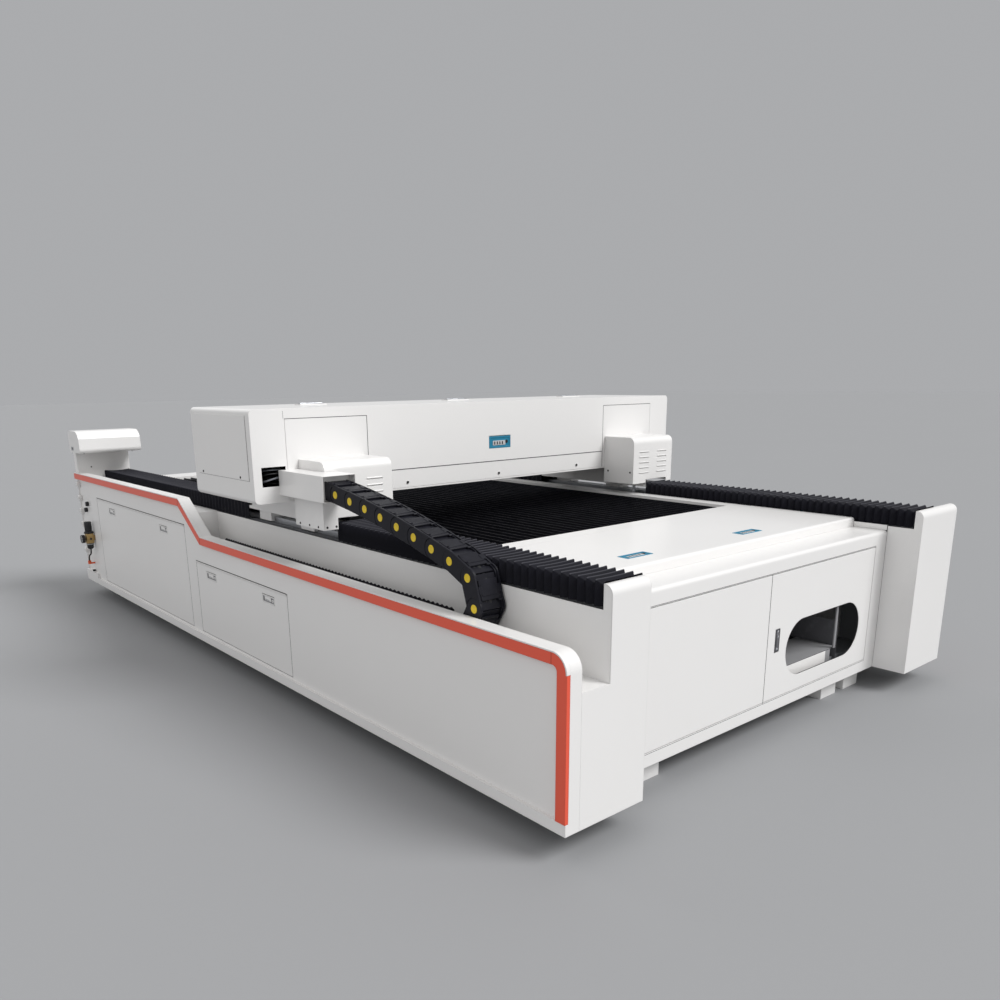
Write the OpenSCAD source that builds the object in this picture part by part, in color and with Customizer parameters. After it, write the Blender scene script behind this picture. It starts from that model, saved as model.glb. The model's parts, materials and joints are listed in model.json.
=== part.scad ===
// Carbon dioxide laser engraving machine with a travelling gantry.
// Millimetres. X runs across the machine, Y along its length away from the
// near end, Z up from the floor. Left means negative X.

/* [Overall] */
// Width over the two side housings
body_w = 2100; // [2000:1:2520]
// Length from the near end to the far end
body_l = 3920; // [3700:1:4710]
// Height of the feet, from the floor to the frame
foot_h = 78; // [60:1:100]

/* [Side housings] */
// Width of one side housing
housing_w = 286; // [280:1:345]
// Height of the raised part of a housing above the feet
housing_h = 618; // [600:1:660]
// Height of the low part of a side skirt above the feet
skirt_low_h = 475; // [430:1:520]
// Length of the raised part of a side skirt at the far end
high_l = 1562; // [1300:1:1800]
// Length of the ramp between the low and the raised part
ramp_l = 206; // [120:1:300]
// Width of the flat top flange of a side skirt
skirt_flange = 40; // [30:1:44]
// Radius of the skirt's near top corner
corner_r = 50; // [40:1:70]
// Width of the cable trough, outer skirt face to inner wall
trough_w = 141; // [138:1:145]
// Height of the trough floor above the feet
trough_floor_h = 368; // [340:1:380]
// Height of the rail beams above the feet
rail_h = 555; // [545:1:565]
// Depth of the near and far column heads
column_d = 29; // [24:1:40]
// Width of the coloured trim strip
trim_w = 34; // [25:1:50]
// Thickness of the coloured trim strip
trim_t = 12; // [4:1:15]
// Height of the bottom rail along a side
plinth_h = 34; // [20:1:40]
// Sheet thickness of all covers
sheet = 2; // [1.6:0.1:2.4]

/* [Near end and table] */
// Set-back of the near end face behind the columns
end_recess = 124; // [90:1:180]
// Height of the near shoulder above the feet
shoulder_h = 536; // [520:1:545]
// Height of the table deck above the feet
deck_h = 570; // [567:1:580]
// Distance from the near end to the step up to the hatch plate
step_y = 255; // [240:1:300]
// Distance from the near end to the slat opening
slat_y0 = 776; // [740:1:900]
// Distance from the far end to the slat opening
slat_far = 220; // [180:1:400]
// Width of the deck beside the slat opening
deck_side = 73; // [60:1:100]
// Width of the deck rim before and behind the slat opening
rim_w = 70; // [50:1:73]
// Distance from a side housing to the field of the end door and the fixed panel
end_margin = 74; // [60:1:100]
// Height of the bottom of that field above the feet
end_field_z0 = 44; // [40:1:60]
// Height of the top of that field above the feet
end_field_z1 = 484; // [460:1:500]
// Width of the seam around doors and panels
seam = 2.5; // [2.2:0.1:3]
// Length of the door window
window_w = 497; // [400:1:540]
// Height of the door window
window_h = 201; // [150:1:240]
// Pitch of the table slats
slat_pitch = 41; // [30:1:60]
// Height of a table slat
slat_h = 40; // [30:1:44]
// Thickness of a table slat
slat_t = 3; // [2:0.5:4]

/* [Gantry] */
// Overhang of the gantry cover past each side housing
gantry_over = 75; // [60:1:100]
// Depth of the gantry cover
gantry_d = 505; // [490:1:560]
// Height of the gantry cover
gantry_h = 326; // [310:1:380]
// Height of the gantry's underside above the feet
gantry_z = 685; // [680:1:720]
// Gantry place: near face of its cover, from the near end
gantry_y = 1455; // [1400:5:1800]
// Depth of the motor covers in front of the gantry
motor_cover_d = 179; // [170:1:200]
// Width of a motor cover
motor_cover_w = 278; // [270:1:300]
// Width of the drag chain
chain_w = 90; // [70:1:92]
// Height of the drag chain
chain_h = 60; // [50:1:64]
// Bend radius of the drag chain's middle line
chain_r = 105; // [100:1:120]

/* [Latches] */
// Length of a deck latch
latch_l = 120; // [100:1:144]
// Width of a deck latch
latch_w = 44; // [36:1:50]
// Length of a side panel latch
side_latch_l = 98; // [80:1:110]
// Width of a side panel latch
side_latch_w = 30; // [26:1:36]

/* [Exhaust] */
// Outside radius of the exhaust spigot
spigot_r = 100; // [75:1:110]
// Length of the exhaust spigot beyond the far panel
spigot_l = 45; // [30:1:48]

/* [Hidden] */

white = [0.91, 0.91, 0.90];
grey = [0.62, 0.63, 0.65];
red = [0.86, 0.30, 0.20];
black = [0.07, 0.07, 0.09];
blue = [0.12, 0.42, 0.52];
steel = [0.55, 0.56, 0.58];
brass = [0.78, 0.62, 0.32];

// places across the machine, left side
xo = -body_w / 2;
xf = xo + skirt_flange;
xw = xo + trough_w;
xi = xo + housing_w;
rail_x = (xw + xi) / 2;
// places along the machine
high_y = body_l - high_l;
low_y = high_y - ramp_l;
ramp_a = atan2(housing_h - skirt_low_h, ramp_l);
slat_y1 = body_l - slat_far;
slat_l = slat_y1 - slat_y0;
deck_x = -xi - 1;
slat_half_w = deck_x - deck_side;
gantry_y1 = gantry_y + gantry_d;
motor_y = gantry_y - motor_cover_d;
y_shift = -body_l / 2;
service_y0 = body_l - 216;
service_x = xo + 8;
// clearances: a turning or sliding fit, and a free edge
run = 0.05;
gap = 0.5;
// facets of round pins and of slot ends
round_n = 32;
slot_n = 48;

function h(z) = foot_h + z;
function arc(cx, cy, r, a0, a1, n = 10) =
  [for (i = [0 : n]) let (a = a0 + (a1 - a0) * i / n) [cx + r * cos(a), cy + r * sin(a)]];
function inset_knee(d) = d * tan(ramp_a / 2);
function rev(p) = [for (i = [len(p) - 1 : -1 : 0]) p[i]];

module box(a, b) { translate(a) cube(b - a); }
module along_x(x0, x1) {
  translate([x0, 0, 0]) rotate([90, 0, 90]) linear_extrude(x1 - x0) children();
}
module along_y(y0, y1) {
  translate([0, y1, 0]) rotate([90, 0, 0]) linear_extrude(y1 - y0) children();
}
module along_z(z0, z1) { translate([0, 0, z0]) linear_extrude(z1 - z0) children(); }
module flip() { mirror([1, 0, 0]) children(); }
module pair() { children(); flip() children(); }
module place() { translate([0, y_shift, 0]) children(); }
module rect(a, b) { translate(a) square(b - a); }
module slot(a, b, r) {
  rect([a[0] + r, a[1]], [b[0] - r, b[1]]);
  rect([a[0], a[1] + r], [b[0], b[1] - r]);
  for (x = [a[0] + r, b[0] - r], y = [a[1] + r, b[1] - r]) translate([x, y]) circle(r, $fn = slot_n);
}
module pin_y(x, z, r, y0, y1) {
  translate([x, y0, z]) rotate([-90, 0, 0]) cylinder(r = r, h = y1 - y0, $fn = round_n);
}
module pin_x(y, z, r, x0, x1) {
  translate([x0, y, z]) rotate([0, 90, 0]) cylinder(r = r, h = x1 - x0, $fn = round_n);
}
module pin_z(x, y, r, z0, z1) {
  translate([x, y, z0]) cylinder(r = r, h = z1 - z0, $fn = round_n);
}
module tube_x(x0, x1, y0, y1, z0, z1, t) {
  difference() {
    box([x0, y0, z0], [x1, y1, z1]);
    box([x0 - 1, y0 + t, z0 + t], [x1 + 1, y1 - t, z1 - t]);
  }
}
module tube_y(x0, x1, y0, y1, z0, z1, t) {
  difference() {
    box([x0, y0, z0], [x1, y1, z1]);
    box([x0 + t, y0 - 1, z0 + t], [x1 - t, y1 + 1, z1 - t]);
  }
}
module tube_z(x0, x1, y0, y1, z0, z1, t) {
  difference() {
    box([x0, y0, z0], [x1, y1, z1]);
    box([x0 + t, y0 + t, z0 - 1], [x1 - t, y1 - t, z1 + 1]);
  }
}

// ---- frame and feet ----
far_d = 52;
far_y = body_l - far_d;
beam_inset = 20;
beam_h = 178;
beam_z0 = rail_h - beam_h;
beam_t = 6;
frame_t = 5;
light_t = 3;
tie_half = 25;
base_tube_h = 80;
base_tube_d = 106;
foot_rows = 4;
row_y0 = 172;
row_y1 = body_l - 278;
function row_y(i) = row_y0 + (row_y1 - row_y0) * i / (foot_rows - 1);
post_w = 60;
door_d = 18;
portal_y = end_recess + door_d + sheet;
portal_z = [shoulder_h - sheet - 40, shoulder_h - sheet];
ledge_w = 40;
ledge_t = 6;
bearer_h = 40;
bearer_z = deck_h - 10 - slat_h - bearer_h;
hatch_y1 = slat_y0 - rim_w;
beam_x0 = xw + beam_inset;
beam_x1 = xi - beam_inset;
foot_x = [-beam_x1 - 253, -beam_x1 - 88];
foot_half = 53;
beam_y = [column_d + 11, far_y - 8];
hatch_bar_x = -beam_x1 - 31;

module base_frame() {
  place() color(grey) {
    pair() tube_y(beam_x0, beam_x1, beam_y[0], beam_y[1], h(beam_z0), h(rail_h), beam_t);
    pair() box([beam_x1, portal_y + post_w, h(bearer_z - ledge_t)],
      [beam_x1 + ledge_w, slat_y1 + rim_w, h(bearer_z)]);
    for (i = [0 : foot_rows - 1]) {
      y0 = row_y(i);
      y1 = row_y(i) + base_tube_d;
      tube_x(beam_x0, -beam_x0, y0, y1, h(0), h(base_tube_h), frame_t);
      pair() tube_z(beam_x0, beam_x1, y0, y1, h(base_tube_h), h(beam_z0), frame_t);
    }
    pair() tube_y(foot_x[0] - tie_half, foot_x[0] + tie_half, row_y(0) + base_tube_d, row_y(foot_rows - 1),
      h(30), h(base_tube_h), 4);
    tube_z(-post_w / 2, post_w / 2, portal_y, portal_y + post_w, h(base_tube_h), h(portal_z[0]), frame_t);
    tube_x(beam_x1, -beam_x1, portal_y, portal_y + post_w, h(portal_z[0]), h(portal_z[1]), light_t);
    tube_y(-post_w / 2, post_w / 2, portal_y, row_y(0), h(base_tube_h - 50), h(base_tube_h), frame_t);
    tube_x(-hatch_bar_x, hatch_bar_x, hatch_y1 - 16, hatch_y1 + 16, h(bearer_z), h(deck_h - sheet), light_t);
  }
}

module machine_feet() {
  place() color(white)
    for (i = [0 : foot_rows - 1], x = foot_x, s = [-1, 1])
      box([s * x - foot_half, row_y(i), 0], [s * x + foot_half, row_y(i) + base_tube_d, foot_h]);
}

// ---- side skirts ----
front_panel_y = [low_y - 735, low_y + 96];
front_panel_z = [plinth_h + 8, 361];
rear_panel_y = [high_y - 12, high_y + 1230];
rear_panel_z = [plinth_h + 8, 505];
lip = 14;
service_top = housing_h - trim_w - 8;

module skirt_outline(d, base, y0, y1, r) {
  near = r > 0 ? arc(y0 + r, h(skirt_low_h) - r, r - d, 90, 180, 12)
    : [[y0 + d, h(skirt_low_h) - d]];
  polygon(concat([[y1, base], [y1, h(housing_h) - d],
    [high_y + inset_knee(d), h(housing_h) - d],
    [low_y + inset_knee(d), h(skirt_low_h) - d]], near, [[y0 + d, base]]));
}
module panel_cut(y, z, d) { rect([y[0] + d, h(z[0]) + d], [y[1] - d, h(z[1]) - d]); }
module lip_frame(y, z) {
  difference() {
    panel_cut(y, z, -lip);
    panel_cut(y, z, lip);
  }
}

module skirt_shell(y0, r) {
  along_x(xo + sheet, xf) difference() {
    skirt_outline(0, h(0), y0, body_l, r);
    skirt_outline(sheet, h(sheet), y0, body_l - sheet, r);
  }
  box([xo - 10, y0, h(0)], [xo, body_l, h(plinth_h)]);
}
module left_side_skirt() {
  place() color(white) {
    skirt_shell(0, corner_r);
    along_x(xo, xo + sheet) difference() {
      skirt_outline(0, h(0), 0, body_l, corner_r);
      panel_cut(front_panel_y, front_panel_z, 0);
      panel_cut(rear_panel_y, rear_panel_z, 0);
      rect([service_y0, h(plinth_h)], [body_l + 1, h(service_top)]);
    }
    along_x(xo + sheet, xo + 2 * sheet) {
      lip_frame(front_panel_y, front_panel_z);
      lip_frame(rear_panel_y, rear_panel_z);
    }
    along_x(service_x, service_x + sheet)
      rect([service_y0 - 2, h(sheet)], [body_l - sheet, h(housing_h - sheet)]);
    along_x(xo, service_x) {
      rect([service_y0 - 2, h(plinth_h)], [service_y0, h(service_top) + 2]);
      rect([service_y0, h(service_top)], [body_l, h(service_top) + 2]);
    }
    box([xo - 10, service_y0 + 16, h(plinth_h)], [service_x, body_l, h(plinth_h + 26)]);
  }
}
module right_side_skirt() {
  place() color(white) flip() {
    skirt_shell(column_d, 0);
    along_x(xo, xo + sheet) skirt_outline(0, h(0), column_d, body_l, 0);
  }
}

module trim(y0, r) {
  along_x(xo - trim_t, xo) difference() {
    skirt_outline(0, h(plinth_h), y0, body_l, r);
    skirt_outline(trim_w, h(plinth_h) - 1, y0, body_l + 1, r);
  }
}
module trim_strips() {
  place() color(red) {
    trim(0, corner_r);
    flip() trim(column_d, 0);
  }
}

// ---- columns ----
head_r = 25;
side_sheet_h = rail_h - 3;
module head_profile(d, y1, base = 0) {
  polygon(concat([[y1, h(base)], [y1, h(housing_h) - d]],
    arc(head_r, h(housing_h) - head_r, head_r - d, 90, 180, 8), [[d, h(base)]]));
}
module left_near_column() {
  place() color(white) {
    along_x(xw, xi) difference() {
      head_profile(0, column_d);
      head_profile(sheet, column_d + 1, -1);
    }
    along_x(xi - sheet, xi) head_profile(sheet, column_d);
    box([xf, 0, h(0)], [xw, sheet, h(trough_floor_h)]);
    box([xi - sheet, column_d, h(0)], [xi, end_recess, h(side_sheet_h)]);
  }
}
module right_near_column() {
  place() color(white) flip() {
    difference() {
      along_x(xo, xi) head_profile(0, column_d);
      along_x(xo + sheet, xi - sheet) head_profile(sheet, column_d - sheet, -1);
    }
    box([xi - sheet, column_d, h(0)], [xi, end_recess, h(side_sheet_h)]);
  }
}

// ---- troughs: outer lip, floor, inner wall and closed far part ----
trough_end_y = high_y - 46;
module trough(y0, r) {
  floor_z = h(trough_floor_h);
  box([xf, y0, floor_z - sheet], [xw + sheet, trough_end_y, floor_z]);
  box([xw, column_d, floor_z], [xw + sheet, far_y, h(side_sheet_h)]);
  box([xf, trough_end_y - sheet, floor_z - sheet], [xw, trough_end_y, h(rail_h)]);
  box([xf, trough_end_y, h(rail_h) - sheet], [xw, far_y, h(rail_h)]);
  along_x(xf, xf + sheet) intersection() {
    skirt_outline(sheet, h(0), y0 - sheet, far_y, r);
    rect([y0, floor_z], [trough_end_y - sheet, h(housing_h)]);
  }
}
module left_trough() {
  place() color(white) {
    trough(sheet, corner_r);
    along_x(xw, xw + sheet) intersection() {
      head_profile(sheet, column_d);
      rect([sheet, h(trough_floor_h)], [column_d, h(housing_h)]);
    }
  }
}
module right_trough() { place() color(white) flip() trough(column_d, 0); }

// ---- far columns ----
post_top = 735;
module far_column(top) {
  difference() {
    box([xf, far_y, h(0)], [xi, body_l, h(housing_h)]);
    box([xf + sheet, far_y + sheet, h(-1)], [xi - sheet, body_l - sheet, h(housing_h) - sheet]);
  }
  if (top > housing_h) difference() {
    box([xo, far_y, h(housing_h)], [xi, body_l, h(top)]);
    box([xo + sheet, far_y + sheet, h(housing_h) + sheet], [xi - sheet, body_l - sheet, h(top) + 1]);
  }
}
module far_columns() {
  place() color(white) {
    far_column(post_top);
    flip() far_column(housing_h);
  }
}

// ---- near end ----
field_x = deck_x - end_margin;
shoulder_r = 12;
shoulder_y1 = step_y + 25;
door_pin_r = 3;
door_pin_x = field_x - seam - 5;
door_pin_y = end_recess + 6;
split = seam / 2;

module shoulder_profile(d, y1) {
  polygon(concat([[y1, h(0) - d], [y1, h(shoulder_h) - d]],
    arc(end_recess + shoulder_r, h(shoulder_h) - shoulder_r, shoulder_r - d, 90, 180, 8),
    [[end_recess + d, h(0) - d]]));
}
module near_fascia() {
  place() color(white) difference() {
    union() {
      along_x(-deck_x, deck_x) difference() {
        shoulder_profile(0, shoulder_y1);
        shoulder_profile(sheet, shoulder_y1 + 1);
      }
      for (z = [end_field_z0 - sheet, end_field_z1])
        box([-field_x - sheet, end_recess + sheet, h(z)],
          [field_x + sheet, end_recess + door_d + sheet, h(z) + sheet]);
    }
    box([-field_x, end_recess - 1, h(end_field_z0)],
      [field_x, end_recess + sheet + 1, h(end_field_z1)]);
    pin_z(door_pin_x, door_pin_y, door_pin_r + run, h(end_field_z0) - 3, h(end_field_z1) + 3);
  }
}
module sheet_door(x0, x1) {
  z0 = h(end_field_z0) + seam;
  z1 = h(end_field_z1) - seam;
  difference() {
    box([x0, end_recess, z0], [x1, end_recess + door_d, z1]);
    box([x0 + sheet, end_recess + sheet, z0 + sheet],
      [x1 - sheet, end_recess + door_d + 1, z1 - sheet]);
  }
}
module fixed_end_panel() {
  place() color(white) {
    sheet_door(-field_x + seam, -split);
    for (x = [-field_x * 0.85, -field_x * 0.15], z = [end_field_z0, end_field_z1 - seam])
      box([x, end_recess + sheet + 4, h(z)], [x + 30, end_recess + door_d, h(z) + seam]);
  }
}

window_x = field_x - 75 - window_w;
window_z = end_field_z0 + 55;
lock_x = 58;
lock_w = 27;
lock_l = 79;
lock_z = window_z + 153;
module on_door() {
  translate([lock_x, end_recess, h(lock_z)]) rotate([90, 0, 0]) rotate([0, 0, 180]) children();
}
module end_door() {
  z0 = h(end_field_z0);
  z1 = h(end_field_z1);
  place() color(white) {
    difference() {
      sheet_door(split, field_x - seam);
      along_y(end_recess - 1, end_recess + sheet + 1)
        slot([window_x, h(window_z)], [window_x + window_w, h(window_z) + window_h],
          window_h / 2 - 1);
      on_door() along_z(-sheet - 1, 1) latch_hole(lock_w, lock_l);
    }
    for (z = [[z0 - 1.5, z0 + seam + sheet], [z1 - seam - sheet, z1 + 1.5]])
      pin_z(door_pin_x, door_pin_y, door_pin_r, z[0], z[1]);
    on_door() latch_pan(lock_w, lock_l);
  }
}
module door_lock() { place() color(steel) on_door() latch_paddle(lock_w, lock_l); }

// ---- latches: a paddle on a cross pin in a pan behind the sheet ----
latch_pin_r = 1.5;
latch_pin_d = 2;
latch_pin_z = -4;
latch_back = 3;
module latch_hole(l, w, d = 0) {
  rect([-l / 2 - gap - d, -w / 2 - gap - d], [l / 2 + gap + d, w / 2 + latch_back + d]);
}
module latch_pan(l, w) {
  difference() {
    along_z(-15, -sheet) latch_hole(l, w, 2);
    along_z(-13, 1) latch_hole(l, w);
    pin_x(w / 2 - latch_pin_d, latch_pin_z, latch_pin_r + run, -l / 2 - 5, l / 2 + 5);
  }
}
module latch_paddle(l, w) {
  box([-l / 2, -w / 2, -2.5], [l / 2, w / 2, 1]);
  box([-l / 2 + 6, w / 2 - latch_pin_d - latch_pin_r, latch_pin_z],
    [l / 2 - 6, w / 2 - latch_pin_d + latch_pin_r, -2]);
  pin_x(w / 2 - latch_pin_d, latch_pin_z, latch_pin_r, -l / 2 - 2, l / 2 + 2);
}

// ---- deck ----
hatch_latch_y = step_y + 100;
hatch_latch_x = [-403, 198];
lip_r = 10;
module on_deck(x) { translate([x, hatch_latch_y, h(deck_h)]) children(); }
module hatch_profile(d) {
  base = h(shoulder_h) - (d > 0 ? 1 : 0);
  y1 = d > 0 ? hatch_y1 + 1 : hatch_y1;
  polygon(concat([[y1, base], [y1, h(deck_h) - d]],
    arc(step_y + lip_r, h(deck_h) - lip_r, lip_r - d, 90, 180, 8), [[step_y + d, base]]));
}
module hatch_plate() {
  place() color(white) {
    difference() {
      along_x(-deck_x, deck_x) hatch_profile(0);
      along_x(-deck_x + sheet, deck_x - sheet) hatch_profile(sheet);
      for (x = hatch_latch_x) on_deck(x) along_z(-sheet - 1, 1) latch_hole(latch_l, latch_w);
    }
    for (x = hatch_latch_x) on_deck(x) latch_pan(latch_l, latch_w);
  }
}
module hatch_latch(x) { place() color(blue) on_deck(x) latch_paddle(latch_l, latch_w); }
module left_hatch_latch() { hatch_latch(hatch_latch_x[0]); }
module right_hatch_latch() { hatch_latch(hatch_latch_x[1]); }

rim_lip = 34;
rim_x = deck_x - 4;
module table_rim() {
  place() color(white) {
    along_z(h(deck_h) - sheet, h(deck_h)) difference() {
      rect([-rim_x, hatch_y1 + gap], [rim_x, far_y - 2]);
      rect([-slat_half_w, slat_y0], [slat_half_w, slat_y1]);
    }
    along_z(h(deck_h) - rim_lip, h(deck_h) - sheet) difference() {
      rect([-slat_half_w - sheet, slat_y0 - sheet], [slat_half_w + sheet, slat_y1 + sheet]);
      rect([-slat_half_w, slat_y0], [slat_half_w, slat_y1]);
    }
    pair() box([-rim_x, hatch_y1 + gap, h(bearer_z)],
      [-rim_x + sheet, slat_y1 + rim_w, h(deck_h) - sheet]);
  }
}

slat_n = floor((2 * slat_half_w - 20) / slat_pitch);
bearer_n = 7;
bearer_w = 30;
module table_slats() {
  z0 = h(bearer_z + bearer_h);
  place() color(black)
    for (i = [0 : slat_n]) {
      x = (i - slat_n / 2) * slat_pitch;
      box([x - slat_t / 2, slat_y0 + 2, z0], [x + slat_t / 2, slat_y1 - 2, z0 + slat_h]);
    }
}
module slat_bearers() {
  place() color(black)
    for (i = [0 : bearer_n - 1]) {
      y = slat_y0 + 25 + (slat_l - 50 - bearer_w) * i / (bearer_n - 1);
      box([-rim_x + 5, y, h(bearer_z)], [rim_x - 5, y + bearer_w, h(bearer_z + bearer_h)]);
    }
}

hopper_h = [160, bearer_z - ledge_t];
hopper_x = [150, -beam_x1 - 60];
hopper_y = [slat_y0 + 10, slat_y1 - 10];
spigot_z = 290;
duct_r = spigot_r - 4;
module hopper_profile(d) {
  base = h(hopper_h[0]) + d;
  top = h(hopper_h[1]) + (d > 0 ? 1 : 0);
  polygon([[-hopper_x[1] + d, top], [-hopper_x[0] + d / 2, base],
    [hopper_x[0] - d / 2, base], [hopper_x[1] - d, top]]);
}
module fume_hopper() {
  place() color(grey) difference() {
    union() {
      difference() {
        along_y(hopper_y[0], hopper_y[1]) hopper_profile(0);
        along_y(hopper_y[0] + sheet, hopper_y[1] - sheet) hopper_profile(sheet);
      }
      pair() box([beam_x1 + 5, hopper_y[0], h(hopper_h[1]) - sheet],
        [-hopper_x[1] + 2, hopper_y[1], h(hopper_h[1])]);
      pin_y(0, h(spigot_z), duct_r, hopper_y[1] - sheet, far_y + 2 * sheet);
      pin_y(0, h(spigot_z), spigot_r + 25, far_y + sheet, far_y + 2 * sheet);
      pin_y(0, h(spigot_z), spigot_r, far_y + 2 * sheet, far_y + spigot_l);
    }
    pin_y(0, h(spigot_z), duct_r - sheet, hopper_y[1] - 5, far_y + spigot_l + 1);
  }
}

vent_n = 6;
module far_end_panel() {
  place() color(white) difference() {
    box([-deck_x - 1, far_y, h(0)], [deck_x + 1, far_y + sheet, h(deck_h)]);
    pin_y(0, h(spigot_z), duct_r + gap, far_y - 1, far_y + sheet + 1);
    for (x = [-560, 560], i = [0 : vent_n - 1])
      box([x - 80, far_y - 1, h(120) + i * 24], [x + 80, far_y + sheet + 1, h(128) + i * 24]);
  }
}

tray_x = [40, 530];
tray_y = [portal_y + post_w + 2, 700];
tray_h = 42;
module debris_tray() {
  z0 = h(base_tube_h);
  place() color(grey) difference() {
    box([tray_x[0], tray_y[0], z0], [tray_x[1], tray_y[1], z0 + tray_h]);
    box([tray_x[0] + sheet, tray_y[0] + sheet, z0 + sheet],
      [tray_x[1] - sheet, tray_y[1] - sheet, z0 + tray_h + 1]);
  }
}
psu_x = [beam_x1 + 94, beam_x1 + 334];
psu_y = [row_y(1) - 120, row_y(1) + 260];
psu_h = 150;
module laser_power_supply() {
  z0 = h(base_tube_h);
  place() color(grey) {
    box([psu_x[0], psu_y[0], z0], [psu_x[1], psu_y[1], z0 + psu_h]);
    for (x = [psu_x[0] + 6 : 28 : psu_x[1] - 10])
      box([x, psu_y[0] - 12, z0 + 10], [x + 4, psu_y[0], z0 + psu_h - 10]);
  }
}

// ---- rails and bellows ----
rail_w = 25;
rail_t = 22;
rail_groove = [9, 15];
rack_w = 22;
rail_cx = rail_x - 22;
block_half = 28;
rack_x = rail_x + 18;
module linear_rails() {
  place() color(steel) pair() {
    along_y(beam_y[0], beam_y[1]) difference() {
      rect([rail_cx - rail_w / 2, h(rail_h)], [rail_cx + rail_w / 2, h(rail_h) + rail_t]);
      for (x = [rail_cx - rail_w / 2, rail_cx + rail_w / 2])
        rect([x - 2, h(rail_h) + rail_groove[0]], [x + 2, h(rail_h) + rail_groove[1]]);
    }
    box([rack_x - rack_w / 2, beam_y[0], h(rail_h)], [rack_x + rack_w / 2, beam_y[1], h(rail_h) + rack_w]);
  }
}

bellows_h = 69;
bellows_t = 1.5;
bellows_x = [xw + 1, xi - 1];
pleat = 11;
pleats = 42;
near_bellows_y = [column_d, motor_y];
far_bellows_y = [gantry_y1 + 25, far_y];
function zigzag(y, z) =
  [for (i = [0 : 2 * pleats]) [y[0] + (y[1] - y[0]) * i / (2 * pleats), z - (i % 2) * pleat]];
module bellows(y) {
  z1 = h(rail_h + bellows_h);
  place() color(black) {
    along_x(bellows_x[0], bellows_x[1]) polygon(concat(zigzag(y, z1), rev(zigzag(y, z1 - 2 * bellows_t))));
    for (x = [bellows_x[0], bellows_x[1] - bellows_t])
      along_x(x, x + bellows_t)
        polygon(concat(zigzag(y, z1 - bellows_t), [[y[1], h(rail_h) + 1], [y[0], h(rail_h) + 1]]));
  }
}
module left_near_bellows() { bellows(near_bellows_y); }
module left_far_bellows() { bellows(far_bellows_y); }
module right_near_bellows() { flip() bellows(near_bellows_y); }
module right_far_bellows() { flip() bellows(far_bellows_y); }

// ---- side access panels and their latches ----
front_latch_y = [low_y - 580, low_y - 57];
rear_latch_y = [high_y + 249, high_y + 986];
front_latch_z = 311;
rear_latch_z = 451;
module on_side(y, z) { translate([xo, y, h(z)]) rotate([90, 0, -90]) children(); }
module access_panel(y, z, ly, lz) {
  place() color(white) {
    difference() {
      along_x(xo, xo + sheet) panel_cut(y, z, seam);
      for (a = ly) on_side(a, lz) along_z(-sheet - 1, 1) latch_hole(side_latch_l, side_latch_w);
    }
    for (a = ly) on_side(a, lz) latch_pan(side_latch_l, side_latch_w);
  }
}
module left_front_access_panel() {
  access_panel(front_panel_y, front_panel_z, front_latch_y, front_latch_z);
}
module left_rear_access_panel() {
  access_panel(rear_panel_y, rear_panel_z, rear_latch_y, rear_latch_z);
}
module side_latch(y, z) { place() color(steel) on_side(y, z) latch_paddle(side_latch_l, side_latch_w); }
module front_panel_latch_a() { side_latch(front_latch_y[0], front_latch_z); }
module front_panel_latch_b() { side_latch(front_latch_y[1], front_latch_z); }
module rear_panel_latch_a() { side_latch(rear_latch_y[0], rear_latch_z); }
module rear_panel_latch_b() { side_latch(rear_latch_y[1], rear_latch_z); }

// ---- air service on the far end of the left side ----
reg_x = service_x - 28;
reg_y = body_l - 170;
reg_z = 262;
reg_half = 21;
knob_r = 19;
gauge_r = 23;
stem_r = 8;
hose_r = 4;
fitting_y = reg_y + 60;
fitting_h = [105, 125];
module filter_regulator() {
  place() {
    color(brass) {
      box([reg_x - reg_half, reg_y - reg_half, h(reg_z - 26)],
        [reg_x + reg_half, reg_y + reg_half, h(reg_z + 30)]);
      box([reg_x + reg_half, reg_y - 12, h(reg_z - 12)], [service_x, reg_y + 12, h(reg_z + 16)]);
    }
    color(black) {
      difference() {
        pin_z(reg_x, reg_y, 26, h(reg_z + 30), h(reg_z + 42));
        pin_z(reg_x, reg_y, stem_r + run, h(reg_z + 32), h(reg_z + 43));
      }
      pin_z(reg_x, reg_y, 18, h(reg_z - 62), h(reg_z - 26));
      pin_x(reg_y, h(reg_z), gauge_r, reg_x - reg_half - 22, reg_x - reg_half - 5);
      pin_x(reg_y, h(reg_z), 6, reg_x - reg_half - 5, reg_x - reg_half);
      for (k = [[35, 451], [70, 414]]) pin_x(reg_y + k[0], h(k[1]), 13, service_x - 16, service_x);
    }
  }
}
module about_z(x, y, a) { translate([x, y, 0]) rotate([0, 0, a]) translate([-x, -y, 0]) children(); }
module regulator_knob() {
  place() color(black) difference() {
    union() {
      pin_z(reg_x, reg_y, knob_r, h(reg_z + 43), h(reg_z + 94));
      pin_z(reg_x, reg_y, stem_r, h(reg_z + 33), h(reg_z + 44));
    }
    for (i = [0 : 15]) about_z(reg_x, reg_y, i * 22.5)
      box([reg_x + knob_r - 1, reg_y - 1, h(reg_z + 50)], [reg_x + knob_r + 1, reg_y + 1, h(reg_z + 95)]);
  }
}

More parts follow.
